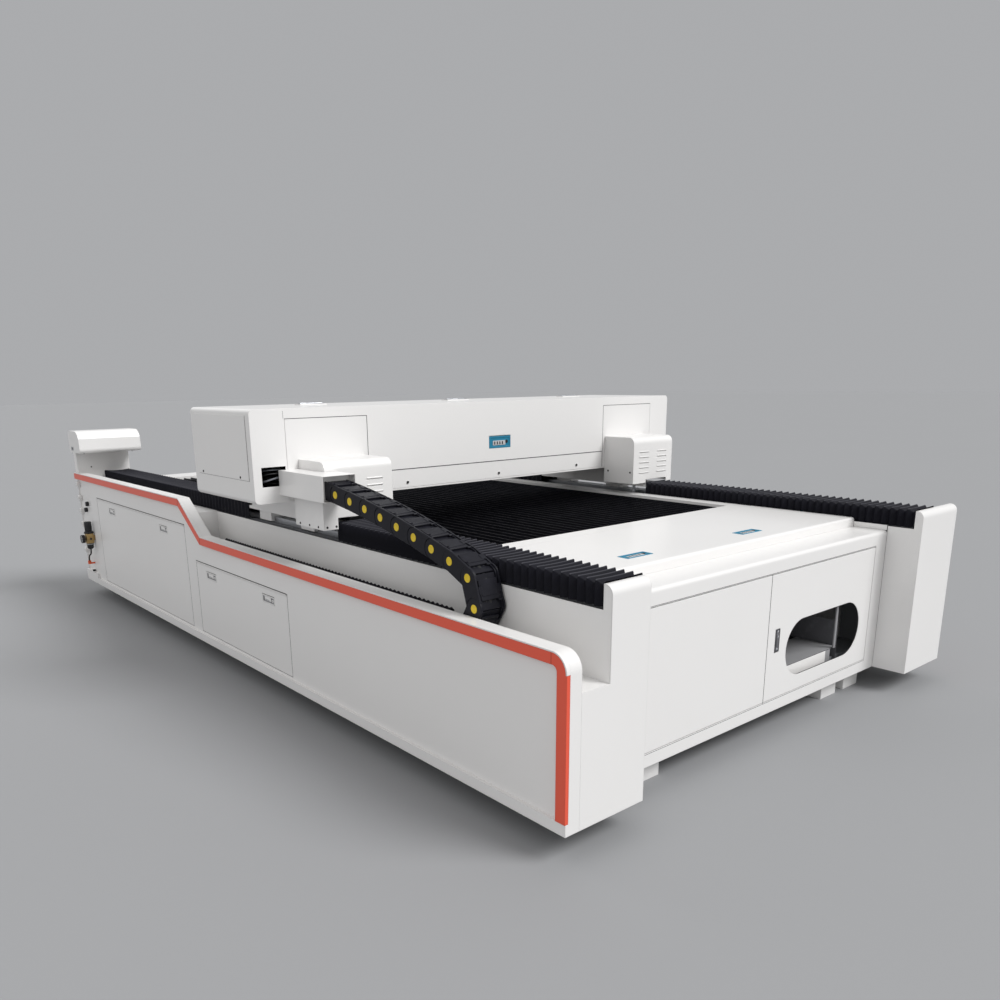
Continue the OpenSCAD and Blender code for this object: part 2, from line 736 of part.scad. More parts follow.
hose_z = [200, 182, 164, 148, 136, fitting_h[1]];
hose_dy = [0, 4, 18, 38, 52, 60];
hose_n = 8;
hose_rings = len(hose_z);
function ring(y, z) =
  [for (k = [0 : hose_n - 1]) let (a = 360 * k / hose_n)
    [reg_x + hose_r * cos(a), y + hose_r * sin(a), z]];
module air_hose() {
  points = [for (i = [0 : hose_rings - 1]) for (p = ring(reg_y + hose_dy[i], h(hose_z[i]))) p];
  walls = [for (i = [0 : hose_rings - 2], k = [0 : hose_n - 1])
    let (a = i * hose_n, b = a + hose_n, next = (k + 1) % hose_n)
    [a + k, a + next, b + next, b + k]];
  top = [[for (k = [hose_n - 1 : -1 : 0]) k]];
  base = [[for (k = [0 : hose_n - 1]) (hose_rings - 1) * hose_n + k]];
  place() color(black) polyhedron(points = points, faces = concat(top, walls, base));
}
clip_n = 6;
clip_pitch = 75;
module hose_clips() {
  place() {
    color(white) for (i = [0 : clip_n - 1]) {
      z = h(service_top - 22 - i * clip_pitch);
      box([xo - 10, body_l - 34, z - 15], [service_x, body_l - 10, z + 15]);
    }
    color(red) {
      pin_z(reg_x, fitting_y, 9, h(fitting_h[0]), h(fitting_h[1]));
      box([reg_x, fitting_y - 5, h(fitting_h[0])], [service_x, fitting_y + 5, h(fitting_h[0]) + 8]);
    }
    color(black) pin_z(xo - 1, fitting_y, 8, h(plinth_h + 26), h(plinth_h + 36));
  }
}

// ---- control console ----
console_x = [xo - 22, xo + 310];
console_y = [body_l - 215, body_l - 25];
console_z = [post_top, post_top + 118];
console_r = 22;
console_slope = 60;
screen_x = [console_x[0] + 30, console_x[0] + 190];
screen_z = [console_z[0] + 25, console_z[1] - 28];
stop_x = console_x[1] - 60;
stop_z = console_z[0] + 60;
stop_r = 10;
module console_outline(d) {
  r = console_r;
  s = console_slope;
  polygon(concat(
    arc(console_y[1] - r, h(console_z[1]) - r, r - d, 0, 90, 6),
    arc(console_y[0] + s, h(console_z[1]) - s, s - d, 90, 160, 8),
    arc(console_y[0] + r, h(console_z[0]) + r, r - d, 180, 270, 6),
    arc(console_y[1] - r, h(console_z[0]) + r, r - d, 270, 360, 6)));
}
module control_console() {
  place() {
    color(white) difference() {
      along_x(console_x[0], console_x[1]) console_outline(0);
      along_x(console_x[0] + sheet, console_x[1] - sheet) console_outline(sheet);
      along_y(console_y[1] - 5, console_y[1] + 1)
        rect([screen_x[0], h(screen_z[0])], [screen_x[1], h(screen_z[1])]);
      pin_y(stop_x, h(stop_z), stop_r + run, console_y[1] - 9, console_y[1] + 1);
    }
    color(black) along_y(console_y[1] - 6, console_y[1] - sheet)
      rect([screen_x[0] - 3, h(screen_z[0]) - 3], [screen_x[1] + 3, h(screen_z[1]) + 3]);
  }
}
module emergency_stop() {
  place() color(red) {
    pin_y(stop_x, h(stop_z), 19, console_y[1] + 8, console_y[1] + 20);
    pin_y(stop_x, h(stop_z), stop_r, console_y[1] - 12, console_y[1] + 8);
    pin_y(stop_x, h(stop_z), stop_r + 3, console_y[1] - 14, console_y[1] - 12);
  }
}

// ---- gantry ----
gx = body_w / 2 + gantry_over;
gz0 = h(gantry_z);
gz1 = gz0 + gantry_h;
cover_r = 18;
port_x = [-gx + 32, -gx + 125];
port_z = [gz0 + 59, gz0 + 127];
frame_y = [gantry_y + 250, gantry_y + 400];
frame_z = [gz0 + 30, gz0 + 180];
frame_wall = 8;
foot_plate_y0 = gantry_y + 62;
slot_half = gx - 380;
end_panel_x = [-gx + 132, -gx + 472];
end_panel_z = [gz0 + 6, gz0 + 290];
low_panel_x = [end_panel_x[1] + 4, -end_panel_x[1] - 4];
low_panel_z = [gz0 + 6, gz0 + 79];
latch_x = 8;
latch_z = gz0 + 157;
gantry_latch_w = 49;
strap_x = [-gx + 420, 25, gx - 379];

module cover_outline(d) { slot([-gx + d, gz0 + d], [gx - d, gz1 - d], cover_r - d * 0.9); }
module on_gantry() { translate([latch_x, gantry_y, latch_z]) rotate([90, 0, 0]) children(); }
module panel_shape(x, z, d) { rect([x[0] + d, z[0] + d], [x[1] - d, z[1] - d]); }
module gantry_panel_shapes(d) {
  panel_shape(end_panel_x, end_panel_z, d);
  flip() panel_shape(end_panel_x, end_panel_z, d);
  panel_shape(low_panel_x, low_panel_z, d);
}
module gantry_cover() {
  place() color(white) {
    difference() {
      along_y(gantry_y, gantry_y1) cover_outline(0);
      along_y(gantry_y + sheet, gantry_y1 - sheet) cover_outline(sheet);
      along_y(gantry_y - 1, gantry_y + sheet + 1) gantry_panel_shapes(0);
      along_y(gantry_y - 1, gantry_y + sheet + 1)
        rect([port_x[0], port_z[0]], [port_x[1], port_z[1]]);
      on_gantry() along_z(-sheet - 1, 1) latch_hole(latch_l, gantry_latch_w);
      pair() box([xw + 3, foot_plate_y0 - 1, gz0 - 1],
        [xi - 3, frame_y[1] + 1, gz0 + sheet + 1]);
      box([-slot_half, frame_y[1] + 1, gz0 - 1], [slot_half, gantry_y1 - 14, gz0 + sheet + 1]);
      box([-slot_half, gantry_y1 - 5, gz0 + 40], [slot_half, gantry_y1 + 1, gz0 + 190]);
    }
    along_y(gantry_y + sheet, gantry_y + 2 * sheet) difference() {
      gantry_panel_shapes(-3);
      gantry_panel_shapes(lip);
    }
    on_gantry() latch_pan(latch_l, gantry_latch_w);
    for (x = strap_x) box([x - 60, gantry_y + 300, gz1], [x + 60, gantry_y + 345, gz1 + 4]);
  }
}
module gantry_panels() {
  place() color(white) {
    along_y(gantry_y, gantry_y + sheet) gantry_panel_shapes(seam / 2);
    for (x = [-477, 0, 477]) pin_y(x, gz0 + 27, 6, gantry_y - 2, gantry_y);
  }
}
module gantry_latch() { place() color(blue) on_gantry() latch_paddle(latch_l, gantry_latch_w); }
module gantry_frame() {
  place() color(grey) {
    tube_x(-gx + 70, gx - 70, frame_y[0], frame_y[1], frame_z[0], frame_z[1], frame_wall);
    pair() {
      box([xw + 4, foot_plate_y0, gz0], [xi - 4, frame_y[1], gz0 + 12]);
      box([xw + 4, frame_y[0], gz0 + 12], [xi - 4, frame_y[1], frame_z[0]]);
      for (x = [xw + 20, xi - 32])
        box([x, foot_plate_y0 + 8, gz0 + 12], [x + 12, frame_y[0], gz0 + 110]);
      box([-gx + sheet, frame_y[0] + 20, frame_z[0] + 20],
        [-gx + 70, frame_y[1] - 20, frame_z[1] - 20]);
    }
  }
}

plate_z = [rail_h + 45, rail_h + 57];
block_z = rail_h + 5;
pinion_r = 20;
pinion_bore = 7;
pinion_x = rack_x + rack_w / 2 + pinion_r + 0.3;
pinion_y = motor_y + 90;
motor_half = 40;
module carriage() {
  difference() {
    box([xw + 4, motor_y, h(plate_z[0])], [xi - 4, gantry_y1 + 25, h(plate_z[1])]);
    pin_z(pinion_x, pinion_y, 12, h(plate_z[0]) - 1, h(plate_z[1]) + 1);
  }
  difference() {
    box([xw + 4, gantry_y + 5, h(plate_z[1])], [xi - 4, gantry_y1 - 5, gz0]);
    box([xw + 12, gantry_y + 13, h(plate_z[1]) - 1], [xi - 12, gantry_y1 - 13, gz0 + 1]);
  }
  for (y = [gantry_y + 30, gantry_y1 - 130]) difference() {
    box([rail_cx - block_half, y, h(block_z)], [rail_cx + block_half, y + 100, h(plate_z[0])]);
    box([rail_cx - rail_w / 2 - run, y - 1, h(block_z) - 1],
      [rail_cx + rail_w / 2 + run, y + 101, h(rail_h + rail_t) + run]);
  }
}
module rail_carriages() { place() color(white) pair() carriage(); }
module drive_motors() {
  z0 = h(plate_z[1]);
  place() color(black) pair() {
    difference() {
      box([pinion_x - motor_half, pinion_y - motor_half, z0],
        [pinion_x + 15, pinion_y + motor_half, z0 + 40]);
      pin_z(pinion_x, pinion_y, pinion_bore + run, z0 - 1, z0 + 20);
    }
    box([pinion_x - motor_half + 2, pinion_y - motor_half + 2, z0 + 40],
      [pinion_x + 13, pinion_y + motor_half - 2, z0 + 190]);
  }
}
module pinion() {
  place() color(steel) {
    pin_z(pinion_x, pinion_y, pinion_r, h(rail_h) + 1, h(rail_h) + 24);
    pin_z(pinion_x, pinion_y, pinion_bore, h(rail_h) + 24, h(plate_z[1]) + 18);
  }
}
module left_pinion() { pinion(); }
module right_pinion() { flip() pinion(); }

cover_x1 = -gx + 455;
cover_x0 = cover_x1 - motor_cover_w;
cover_z = [rail_h + 65, rail_h + 277];
motor_cover_r = 30;
louvre_n = 5;
louvre_x = [42, 170];
louvre_w = 66;
louvre_z = rail_h + 109;
louvre_pitch = 24;
module motor_cover_profile(d) {
  base = h(cover_z[0]) - (d > 0 ? 1 : 0);
  y1 = d > 0 ? gantry_y + 1 : gantry_y;
  r = motor_cover_r;
  polygon(concat([[y1, base], [y1, h(cover_z[1]) - d]],
    arc(motor_y + r, h(cover_z[1]) - r, r - d, 90, 180, 8), [[motor_y + d, base]]));
}
module motor_cover() {
  place() color(white) {
    difference() {
      along_x(cover_x0, cover_x1) motor_cover_profile(0);
      along_x(cover_x0 + sheet, cover_x1 - sheet) motor_cover_profile(sheet);
      box([xw - 2, motor_y - 1, h(cover_z[0]) - 1],
        [xi + 2, motor_y + sheet + 1, h(rail_h + bellows_h) + 12]);
      for (i = [0 : louvre_n - 1], x = louvre_x) let (z = h(louvre_z) + i * louvre_pitch)
        box([cover_x0 + x, motor_y - 1, z], [cover_x0 + x + louvre_w, motor_y + sheet + 1, z + 5]);
    }
    for (i = [0 : louvre_n - 1], x = louvre_x)
      translate([0, 0, h(louvre_z) + i * louvre_pitch]) along_x(cover_x0 + x, cover_x0 + x + louvre_w)
        polygon([[motor_y + 1, 5], [motor_y - 1.5, 3], [motor_y - 1.5, 6], [motor_y + 1, 10]]);
    box([cover_x0 + 1, gantry_y - 14, h(plate_z[1])],
      [cover_x1 - 1, gantry_y, h(cover_z[0] + 20)]);
  }
}
module left_motor_cover() { motor_cover(); }
module right_motor_cover() { flip() motor_cover(); }

// ---- drag chain: upper run, bend and lower run ----
chain_x = [xf + 5, xf + 5 + chain_w];
chain_top = 752;
chain_floor = trough_floor_h + 4 + chain_h / 2;
chain_near_y = 380;
chain_bend_y = chain_near_y + chain_r + chain_h / 2;
anchor_y = chain_near_y + 1060;
bracket_x = [chain_x[0] - 24, chain_x[1] + 12];
bracket_y = motor_y - 126;
bracket_z = [713, 800];
chain_end_y = bracket_y + 30;
function run_y(t) = chain_end_y + (chain_bend_y - chain_end_y) * t;
function run_z(t) = chain_top - (chain_top - chain_floor - 2 * chain_r) * (0.55 * t + 0.45 * t * t);
function chain_side(s) = concat(
  [for (i = [0 : 10]) [run_y(i / 10), h(run_z(i / 10)) + s * chain_h / 2]],
  arc(chain_bend_y, h(chain_floor) + chain_r, chain_r + s * chain_h / 2, 105, 270, 11),
  [[anchor_y, h(chain_floor) - s * chain_h / 2]]);
module drag_chain() {
  place() color(black) along_x(chain_x[0], chain_x[1]) polygon(concat(chain_side(1), rev(chain_side(-1))));
}
module chain_anchor() {
  z0 = h(trough_floor_h);
  place() color(steel) {
    box([chain_x[0], anchor_y, z0], [chain_x[1], anchor_y + 70, z0 + 4]);
    box([chain_x[0], anchor_y, z0 + 4], [chain_x[1], anchor_y + 5, z0 + 4 + chain_h]);
  }
}
bracket_back = motor_y - 2;
bracket_side = xw - 65;
module chain_bracket() {
  xs = cover_x0 - gap;
  z0 = h(bracket_z[0]);
  z1 = h(bracket_z[1]);
  place() color(white) {
    difference() {
      union() {
        box([bracket_x[0], bracket_y, z0], [bracket_x[1], bracket_back, z1]);
        box([bracket_x[0], bracket_back, z0], [xs, gantry_y, z1]);
      }
      box([bracket_x[0] + sheet, bracket_y - 1, z0 + sheet],
        [bracket_x[1] - sheet, bracket_back - sheet, z1 - sheet]);
      box([bracket_x[0] + sheet, bracket_back - sheet - 1, z0 + sheet],
        [xs - sheet, gantry_y + 1, z1 - sheet]);
    }
    box([bracket_x[0] + sheet, chain_end_y, z0 + sheet],
      [bracket_x[1] - sheet, chain_end_y + 5, z1 - sheet]);
    box([bracket_side, bracket_back - 20, h(641)], [xw + 49, bracket_back, z0]);
    box([bracket_side, bracket_back - 20, h(602)], [xw - 8, bracket_back, h(641)]);
    box([bracket_side, bracket_back, h(602)], [xs, gantry_y, z0]);
    box([xs, motor_y, h(602)], [xw + 4, gantry_y, h(plate_z[1])]);
  }
}

// ---- laser tube and optics inside the cover ----
tube_r = 40;
tube_y = gantry_y + 130;
tube_z = gz0 + 190;
tube_x = [-gx + 245, gx - 355];
mirror_x = [-gx + 125, gx - 265];
saddle_x = [-gx + 525, gx - 625];
saddle_w = 30;
module laser_tube() {
  place() color([0.75, 0.86, 0.9]) {
    pin_x(tube_y, tube_z, tube_r, tube_x[0], tube_x[1]);
    for (x = [tube_x[0] - 25, tube_x[1]]) pin_x(tube_y, tube_z, 22, x, x + 25);
  }
}
module tube_supports() {
  place() color(steel) {
    for (x = saddle_x) difference() {
      union() {
        box([x, tube_y - 50, gz0 + 60], [x + saddle_w, tube_y + 50, tube_z]);
        pin_x(tube_y, tube_z, tube_r + 10, x, x + saddle_w);
        box([x, tube_y + 50, gz0 + 60], [x + saddle_w, frame_y[0], gz0 + 90]);
      }
      pin_x(tube_y, tube_z, tube_r, x - 1, x + saddle_w + 1);
    }
    for (x = mirror_x) {
      box([x, frame_y[0] - 60, frame_z[1]], [x + 70, frame_y[1], frame_z[1] + 8]);
      box([x + 20, frame_y[0] + 10, frame_z[1] + 8], [x + 30, frame_y[0] + 70, frame_z[1] + 70]);
    }
  }
}

x_rail_z = frame_z[0] + 75;
x_rail = 20;
head_x = -slot_half + 265;
pulley_r = 22;
pulley_x = slot_half + 90;
module x_axis_drive() {
  y0 = frame_y[1];
  place() {
    color(steel) {
      box([-slot_half - 60, y0, x_rail_z - x_rail / 2],
        [slot_half + 60, y0 + x_rail, x_rail_z + x_rail / 2]);
      for (s = [-1, 1]) pin_y(s * pulley_x, x_rail_z + 40, pulley_r, y0, y0 + 16);
    }
    color(black) for (z = [x_rail_z + 40 - pulley_r, x_rail_z + 38.5 + pulley_r])
      box([-pulley_x, y0 + 2, z], [pulley_x, y0 + 14, z + 1.5]);
  }
}
head_plate_y = frame_y[1] + 34;
module head_carriage() {
  place() color(steel) translate([head_x, 0, 0]) {
    difference() {
      box([-45, frame_y[1] + 4, x_rail_z - 30], [45, head_plate_y, x_rail_z + 14]);
      box([-46, frame_y[1] + 3, x_rail_z - x_rail / 2 - run],
        [46, frame_y[1] + x_rail + run, x_rail_z + x_rail / 2 + run]);
    }
    box([-55, head_plate_y, x_rail_z - 70], [55, head_plate_y + 8, x_rail_z + 60]);
  }
}
module laser_head() {
  y0 = head_plate_y + 8;
  yc = y0 + 26;
  place() color(steel) translate([head_x, 0, 0]) {
    box([-30, y0, gz0 + 40], [30, y0 + 10, gz0 + 110]);
    difference() {
      pin_z(0, yc, 18, gz0 - 40, gz0 + 110);
      pin_z(0, yc, 11, gz0 - 38, gz0 + 111);
      pin_z(0, yc, 3, gz0 - 64, gz0);
    }
    difference() {
      pin_z(0, yc, 8, gz0 - 62, gz0 - 40);
      pin_z(0, yc, 3, gz0 - 64, gz0);
    }
  }
}

base_frame();
machine_feet();
left_side_skirt();
right_side_skirt();
trim_strips();
left_near_column();
right_near_column();
left_trough();
right_trough();
far_columns();
near_fascia();
fixed_end_panel();
hatch_plate();
table_rim();
table_slats();
slat_bearers();
fume_hopper();
far_end_panel();
linear_rails();
left_near_bellows();
left_far_bellows();
right_near_bellows();
right_far_bellows();
left_front_access_panel();
left_rear_access_panel();
chain_anchor();
filter_regulator();
air_hose();
hose_clips();
control_console();
debris_tray();
laser_power_supply();
end_door();
door_lock();
left_hatch_latch();
right_hatch_latch();
front_panel_latch_a();
front_panel_latch_b();
rear_panel_latch_a();
rear_panel_latch_b();
regulator_knob();
emergency_stop();
gantry_cover();
gantry_frame();
rail_carriages();
drive_motors();
left_pinion();
right_pinion();
left_motor_cover();
right_motor_cover();
chain_bracket();
drag_chain();
laser_tube();
tube_supports();
x_axis_drive();
gantry_latch();
gantry_panels();
head_carriage();
laser_head();
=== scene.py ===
"""Flatbed laser engraving machine with a travelling gantry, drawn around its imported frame.

Every shape is worked out with numpy: rings of points carried along a path or up a
profile and joined into closed skins. Lengths are in metres, and places come from the
frame's own boxes: at(x, y, h) takes millimetres across the machine, from its near end
and above its feet.
"""

import json
import math

import bpy
import numpy as np
from mathutils import Matrix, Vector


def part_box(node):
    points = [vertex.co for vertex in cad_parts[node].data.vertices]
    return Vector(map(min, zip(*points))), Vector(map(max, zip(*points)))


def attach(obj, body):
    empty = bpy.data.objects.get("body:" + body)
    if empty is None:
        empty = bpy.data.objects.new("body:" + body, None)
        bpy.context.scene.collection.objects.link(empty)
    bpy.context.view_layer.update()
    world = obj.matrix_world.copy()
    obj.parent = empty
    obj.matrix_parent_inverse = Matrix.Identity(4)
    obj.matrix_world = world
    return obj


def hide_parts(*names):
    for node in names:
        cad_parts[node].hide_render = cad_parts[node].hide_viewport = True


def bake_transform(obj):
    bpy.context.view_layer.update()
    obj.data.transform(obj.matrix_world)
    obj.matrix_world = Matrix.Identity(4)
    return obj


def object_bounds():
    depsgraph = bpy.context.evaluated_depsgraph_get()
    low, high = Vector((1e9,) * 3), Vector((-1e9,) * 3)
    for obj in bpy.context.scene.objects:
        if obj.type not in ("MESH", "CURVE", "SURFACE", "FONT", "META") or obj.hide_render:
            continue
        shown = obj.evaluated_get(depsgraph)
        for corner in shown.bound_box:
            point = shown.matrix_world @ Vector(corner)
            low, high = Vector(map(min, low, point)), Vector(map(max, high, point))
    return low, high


bl_info = {
    "name": "Laser Engraving Machine",
    "version": (1, 0, 0),
    "blender": (4, 5, 0),
    "location": "3D View > Sidebar > Engraver",
    "description": "Builds the drawn parts and finishes of a flatbed laser engraving machine",
    "category": "Object",
}

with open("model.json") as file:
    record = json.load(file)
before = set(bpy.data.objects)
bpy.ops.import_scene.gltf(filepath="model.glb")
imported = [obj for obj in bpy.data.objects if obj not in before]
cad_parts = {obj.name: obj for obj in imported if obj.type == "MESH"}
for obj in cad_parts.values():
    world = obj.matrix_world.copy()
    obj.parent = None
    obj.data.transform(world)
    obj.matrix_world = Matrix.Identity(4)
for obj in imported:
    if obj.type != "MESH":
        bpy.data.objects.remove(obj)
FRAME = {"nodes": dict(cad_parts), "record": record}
NODES = FRAME["nodes"]
CAD_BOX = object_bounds()
MM = 0.001
NEAR_END = CAD_BOX[0].y
FEET_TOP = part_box("machine_feet")[1].z


def at(x, y, h):
    """Millimetres across, from the near end and above the feet, as a point in metres."""
    return np.array([x * MM, NEAR_END + y * MM, FEET_TOP + h * MM])


# ---------------------------------------------------------------- places and outlines

FACINGS = {
    "up": ((1, 0, 0), (0, 1, 0), (0, 0, 1)),
    "down": ((1, 0, 0), (0, -1, 0), (0, 0, -1)),
    "near": ((1, 0, 0), (0, 0, 1), (0, -1, 0)),
    "far": ((-1, 0, 0), (0, 0, 1), (0, 1, 0)),
    "left": ((0, -1, 0), (0, 0, 1), (-1, 0, 0)),
    "right": ((0, 1, 0), (0, 0, 1), (1, 0, 0)),
}


class Place:
    """A spot on the machine: the across, up and out directions of a face, and millimetres from there."""

    def __init__(self, origin, facing):
        self.origin = np.asarray(origin, float)
        self.axes = np.array(FACINGS.get(facing) if isinstance(facing, str) else facing, float)

    def points(self, local):
        """origin + across * x + up * y + out * z, with x, y and z in millimetres."""
        return self.origin + np.asarray(local, float) @ self.axes * MM

    def moved(self, x, y, z=0.0):
        """The same facing, moved by millimetres on the face and out of it."""
        return Place(self.points([x, y, z]), self.axes)


def corners(node):
    """A node's lowest and highest corners as arrays."""
    return [np.array(corner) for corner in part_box(node)]


def face_of(node, facing, depth=MM):
    """The middle of a node's face on one side, sunk by a depth."""
    lo, hi = corners(node)
    spot = (lo + hi) / 2
    out = FACINGS[facing][2]
    axis = int(np.abs(out).argmax())
    spot[axis] = (hi if out[axis] > 0 else lo)[axis] - depth * out[axis]
    return Place(spot, facing)


def rounded(width, height, radius, steps=4):
    """Rectangle whose corners are quarter circles, each about a centre one radius in from both sides."""

    def outline(inset):
        """The rectangle's points, that far inside it."""
        r = max(radius - inset, 0.05)
        signs = np.array([(1, 1), (-1, 1), (-1, -1), (1, -1)], float)
        centres = signs * [width / 2 - inset - r, height / 2 - inset - r]
        turn = np.radians(np.arange(4)[:, None] * 90 + np.linspace(0, 90, steps + 1))
        arcs = np.stack([np.cos(turn), np.sin(turn)], -1) * r
        return (centres[:, None] + arcs).reshape(-1, 2)

    return outline


def disc(radius, steps=32, flutes=0, depth=0.0):
    """Circle of the radius less the inset, its radius waved by depth * cos(flutes * angle)."""

    def outline(inset):
        """The circle's points, that far inside it."""
        turn = np.linspace(0, 2 * np.pi, steps, endpoint=False)
        r = radius - inset + depth * np.cos(turn * flutes)
        return np.stack([r * np.cos(turn), r * np.sin(turn)], -1)

    return outline


def soft_levels(z0, z1, low=0.0, high=0.0, steps=3):
    """(inset, height) pairs up a wall whose foot and top edge are quarter circles of radius low and high."""
    turn = np.radians(np.linspace(0, 90, steps + 1))
    foot = [(low * (1 - math.sin(a)), z0 + low * (1 - math.cos(a))) for a in turn] if low else [(0, z0)]
    top = [(high * (1 - math.cos(a)), z1 - high * (1 - math.sin(a))) for a in turn] if high else [(0, z1)]
    return foot + top


def ringed(outline, levels):
    """One ring of points (x, y, height) for each (inset, height) level of an outline."""
    flat = [(outline(inset), height) for inset, height in levels]
    return np.array([np.column_stack([ring, np.full(len(ring), height)]) for ring, height in flat])


def curve(points, steps=10):
    """Catmull-Rom curve: between points b and c it is
    0.5 * (2b + (c - a)t + (2a - 5b + 4c - d)t^2 + (3b - a - 3c + d)t^3).
    """
    p = np.asarray(points, float)
    p = np.vstack([2 * p[0] - p[1], p, 2 * p[-1] - p[-2]])
    a, b, c, d = p[:-3, None], p[1:-2, None], p[2:-1, None], p[3:, None]
    t = np.linspace(0, 1, steps, endpoint=False)[None, :, None]
    q = 0.5 * (2 * b + (c - a) * t + (2 * a - 5 * b + 4 * c - d) * t**2 + (3 * b - a - 3 * c + d) * t**3)
    return np.vstack([q.reshape(-1, 3), p[-2]])


# ---------------------------------------------------------------- closed skins


class Shell:
    """Closed skins gathered into one mesh. paint picks a material; fold and share are kept per point."""

    def __init__(self):
        self.points, self.faces, self.paints, self.folds, self.shares = [], [], [], [], []
        self.count = 0

    def skin(self, points, groups, paint=0, fold=0.0, share=0.0):
        """Adds faces given as arrays of corner numbers, turned round if the signed volume is negative."""
        volume = 0.0
        for g in groups:
            p = points[g]
            fan = np.cross(p[:, 1:-1], p[:, 2:])
            volume += (p[:, :1] * fan).sum()
        for g in groups:
            g = g if volume > 0 else g[:, ::-1]
            self.faces += (g + self.count).tolist()
            self.paints.append(np.full(len(g), paint, np.int32))
        self.points.append(points)
        self.folds.append(np.broadcast_to(np.asarray(fold, float), len(points)))
        self.shares.append(np.broadcast_to(np.asarray(share, float), len(points)))
        self.count += len(points)

    def loft(self, rings, paint=0, joined=False, fold=0.0, share=0.0):
        """Joins point j of ring i to point j of ring i + 1; the end rings are filled, or joined together."""
        rings = np.asarray(rings, float)
        k, m = rings.shape[:2]
        index = np.arange(k * m).reshape(k, m)
        groups = [] if joined else [index[:1, ::-1], index[-1:]]
        if joined:
            index = np.vstack([index, index[:1]])
        a, b = index[:-1], index[1:]
        quads = np.stack([a, np.roll(a, -1, 1), np.roll(b, -1, 1), b], -1).reshape(-1, 4)
        self.skin(rings.reshape(-1, 3), [quads] + groups, paint, fold, share)

    def slab(self, place, outline, levels, paint=0):
        """An outline carried out of a face: at each (inset, height) level its inset outline is one ring."""
        self.loft(place.points(ringed(outline, levels)), paint)

    def turned(self, place, profile, paint=0, steps=32, flutes=0, depth=0.0):
        """A profile of (radius, height) pairs turned about the place's outward line."""
        levels = [(-r, z) for r, z in profile]
        self.slab(place, disc(0.0, steps, flutes, depth), levels, paint)

    def rim(self, place, outline, section, paint=0):
        """A section of (inset, height) pairs carried round an outline, closed on itself."""
        self.loft(place.points(ringed(outline, section).transpose(1, 0, 2)), paint, joined=True)

    def tube(self, path, radius, paint=0, steps=12, side=(0.0, 0.0, 1.0), share=0.0):
        """A circle carried along a path: centre + radius * (cos a * n + sin a * b), n and b across the path."""
        path = np.asarray(path, float)
        t = np.gradient(path, axis=0)
        t /= np.linalg.norm(t, axis=1, keepdims=True)
        b = np.cross(t, np.asarray(side, float))
        b /= np.linalg.norm(b, axis=1, keepdims=True)
        n = np.cross(b, t)
        turn = np.linspace(0, 2 * np.pi, steps, endpoint=False)[None, :, None]
        rings = path[:, None] + radius * (np.cos(turn) * n[:, None] + np.sin(turn) * b[:, None])
        if np.ndim(share):
            share = np.repeat(share, steps)
        self.loft(rings, paint, share=share)

    def block(self, place, a, b, radius=1.0, edge=1.0, paint=0):
        """A box between two corners in a place's millimetres, with rounded corners and edges."""
        a, b = np.minimum(a, b), np.maximum(a, b)
        centre, size = (a + b) / 2, b - a
        levels = soft_levels(a[2], b[2], edge, edge)
        self.slab(place.moved(centre[0], centre[1]), rounded(size[0], size[1], radius), levels, paint)

    def rod(self, start, end, radius, paint=0):
        """A thin straight tube between two points, its radius in millimetres."""
        along = np.array(end) - np.array(start)
        side = (0.0, 0.0, 1.0) if abs(along[2]) < np.abs(along).max() / 2 else (1.0, 0.3, 0.0)
        self.tube([start, end], radius * MM, paint, 8, side=side)

    def screw(self, place, radius, head=0, recess=1):
        """A domed screw: a turned head with a sunk socket whose floor is painted darker as shade."""
        r = radius
        dome = [(r, -0.4), (r, 0.4), (r * 0.86, r * 0.32), (r * 0.5, r * 0.42), (r * 0.42, 0.3), (0.05, 0.2)]
        self.turned(place, dome, head, 18)
        # Socket floor in the darker paint: painted shade.
        self.turned(place, [(r * 0.4, 0.1), (r * 0.4, 0.45), (0.05, 0.45)], recess, 6)

    def mesh(self, name):
        """The skins as one mesh."""
        mesh = bpy.data.meshes.new(name)
        mesh.from_pydata(np.vstack(self.points).tolist(), [], self.faces)
        return mesh


def piece(name, shell, paints, body, stands_for=None, sharp=32.0, fold=False, share=None):
    """One finished object from a Shell. paints names its finishes in the order of their numbers;
     share holds the two ends of the line from the bed to the gantry: with it the piece is baked in place and
     joins no body, and its per-point shares are gathered but not used.
    """
    mesh = shell.mesh(name)
    for key in paints.split():
        mesh.materials.append(finish(key))
    mesh.polygons.foreach_set("material_index", np.concatenate(shell.paints))
    mesh.polygons.foreach_set("use_smooth", np.ones(len(mesh.polygons), bool))
    mesh.update()
    mesh.set_sharp_from_angle(angle=math.radians(sharp))
    if fold:
        layer = mesh.attributes.new("fold", "FLOAT", "POINT")
        layer.data.foreach_set("value", np.concatenate(shell.folds).astype(np.float32))
    obj = bpy.data.objects.new(name, mesh)
    bpy.context.scene.collection.objects.link(obj)
    if share:
        start, end = share
        tuple(start)
        tuple(end)
        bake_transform(obj)
        weights = np.concatenate(shell.shares).astype(np.float32)
    else:
        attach(obj, body)
    if stands_for:
        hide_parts(stands_for)
    return obj


# ---------------------------------------------------------------- finishes


class Value:
    """A socket that works in sums and products; each adds its Math node."""

    def __init__(self, tree, socket):
        self.tree, self.socket = tree, socket

    def _math(self, operation, *values):
        return self.tree.node("ShaderNodeMath", {"operation": operation}, dict(enumerate(values)))

    def __add__(self, other):
        return self._math("ADD", self, other)

    def __sub__(self, other):
        return self._math("SUBTRACT", self, other)

    def __rsub__(self, other):
        return self._math("SUBTRACT", other, self)

    def __mul__(self, other):
        return self._math("MULTIPLY", self, other)

    __radd__, __rmul__ = __add__, __mul__

    def over(self, low, high):
        """0 at low, 1 at high, and held at both ends."""
        sockets = {"Value": self, "From Min": low, "From Max": high}
        return self.tree.node("ShaderNodeMapRange", {"clamp": True}, sockets)


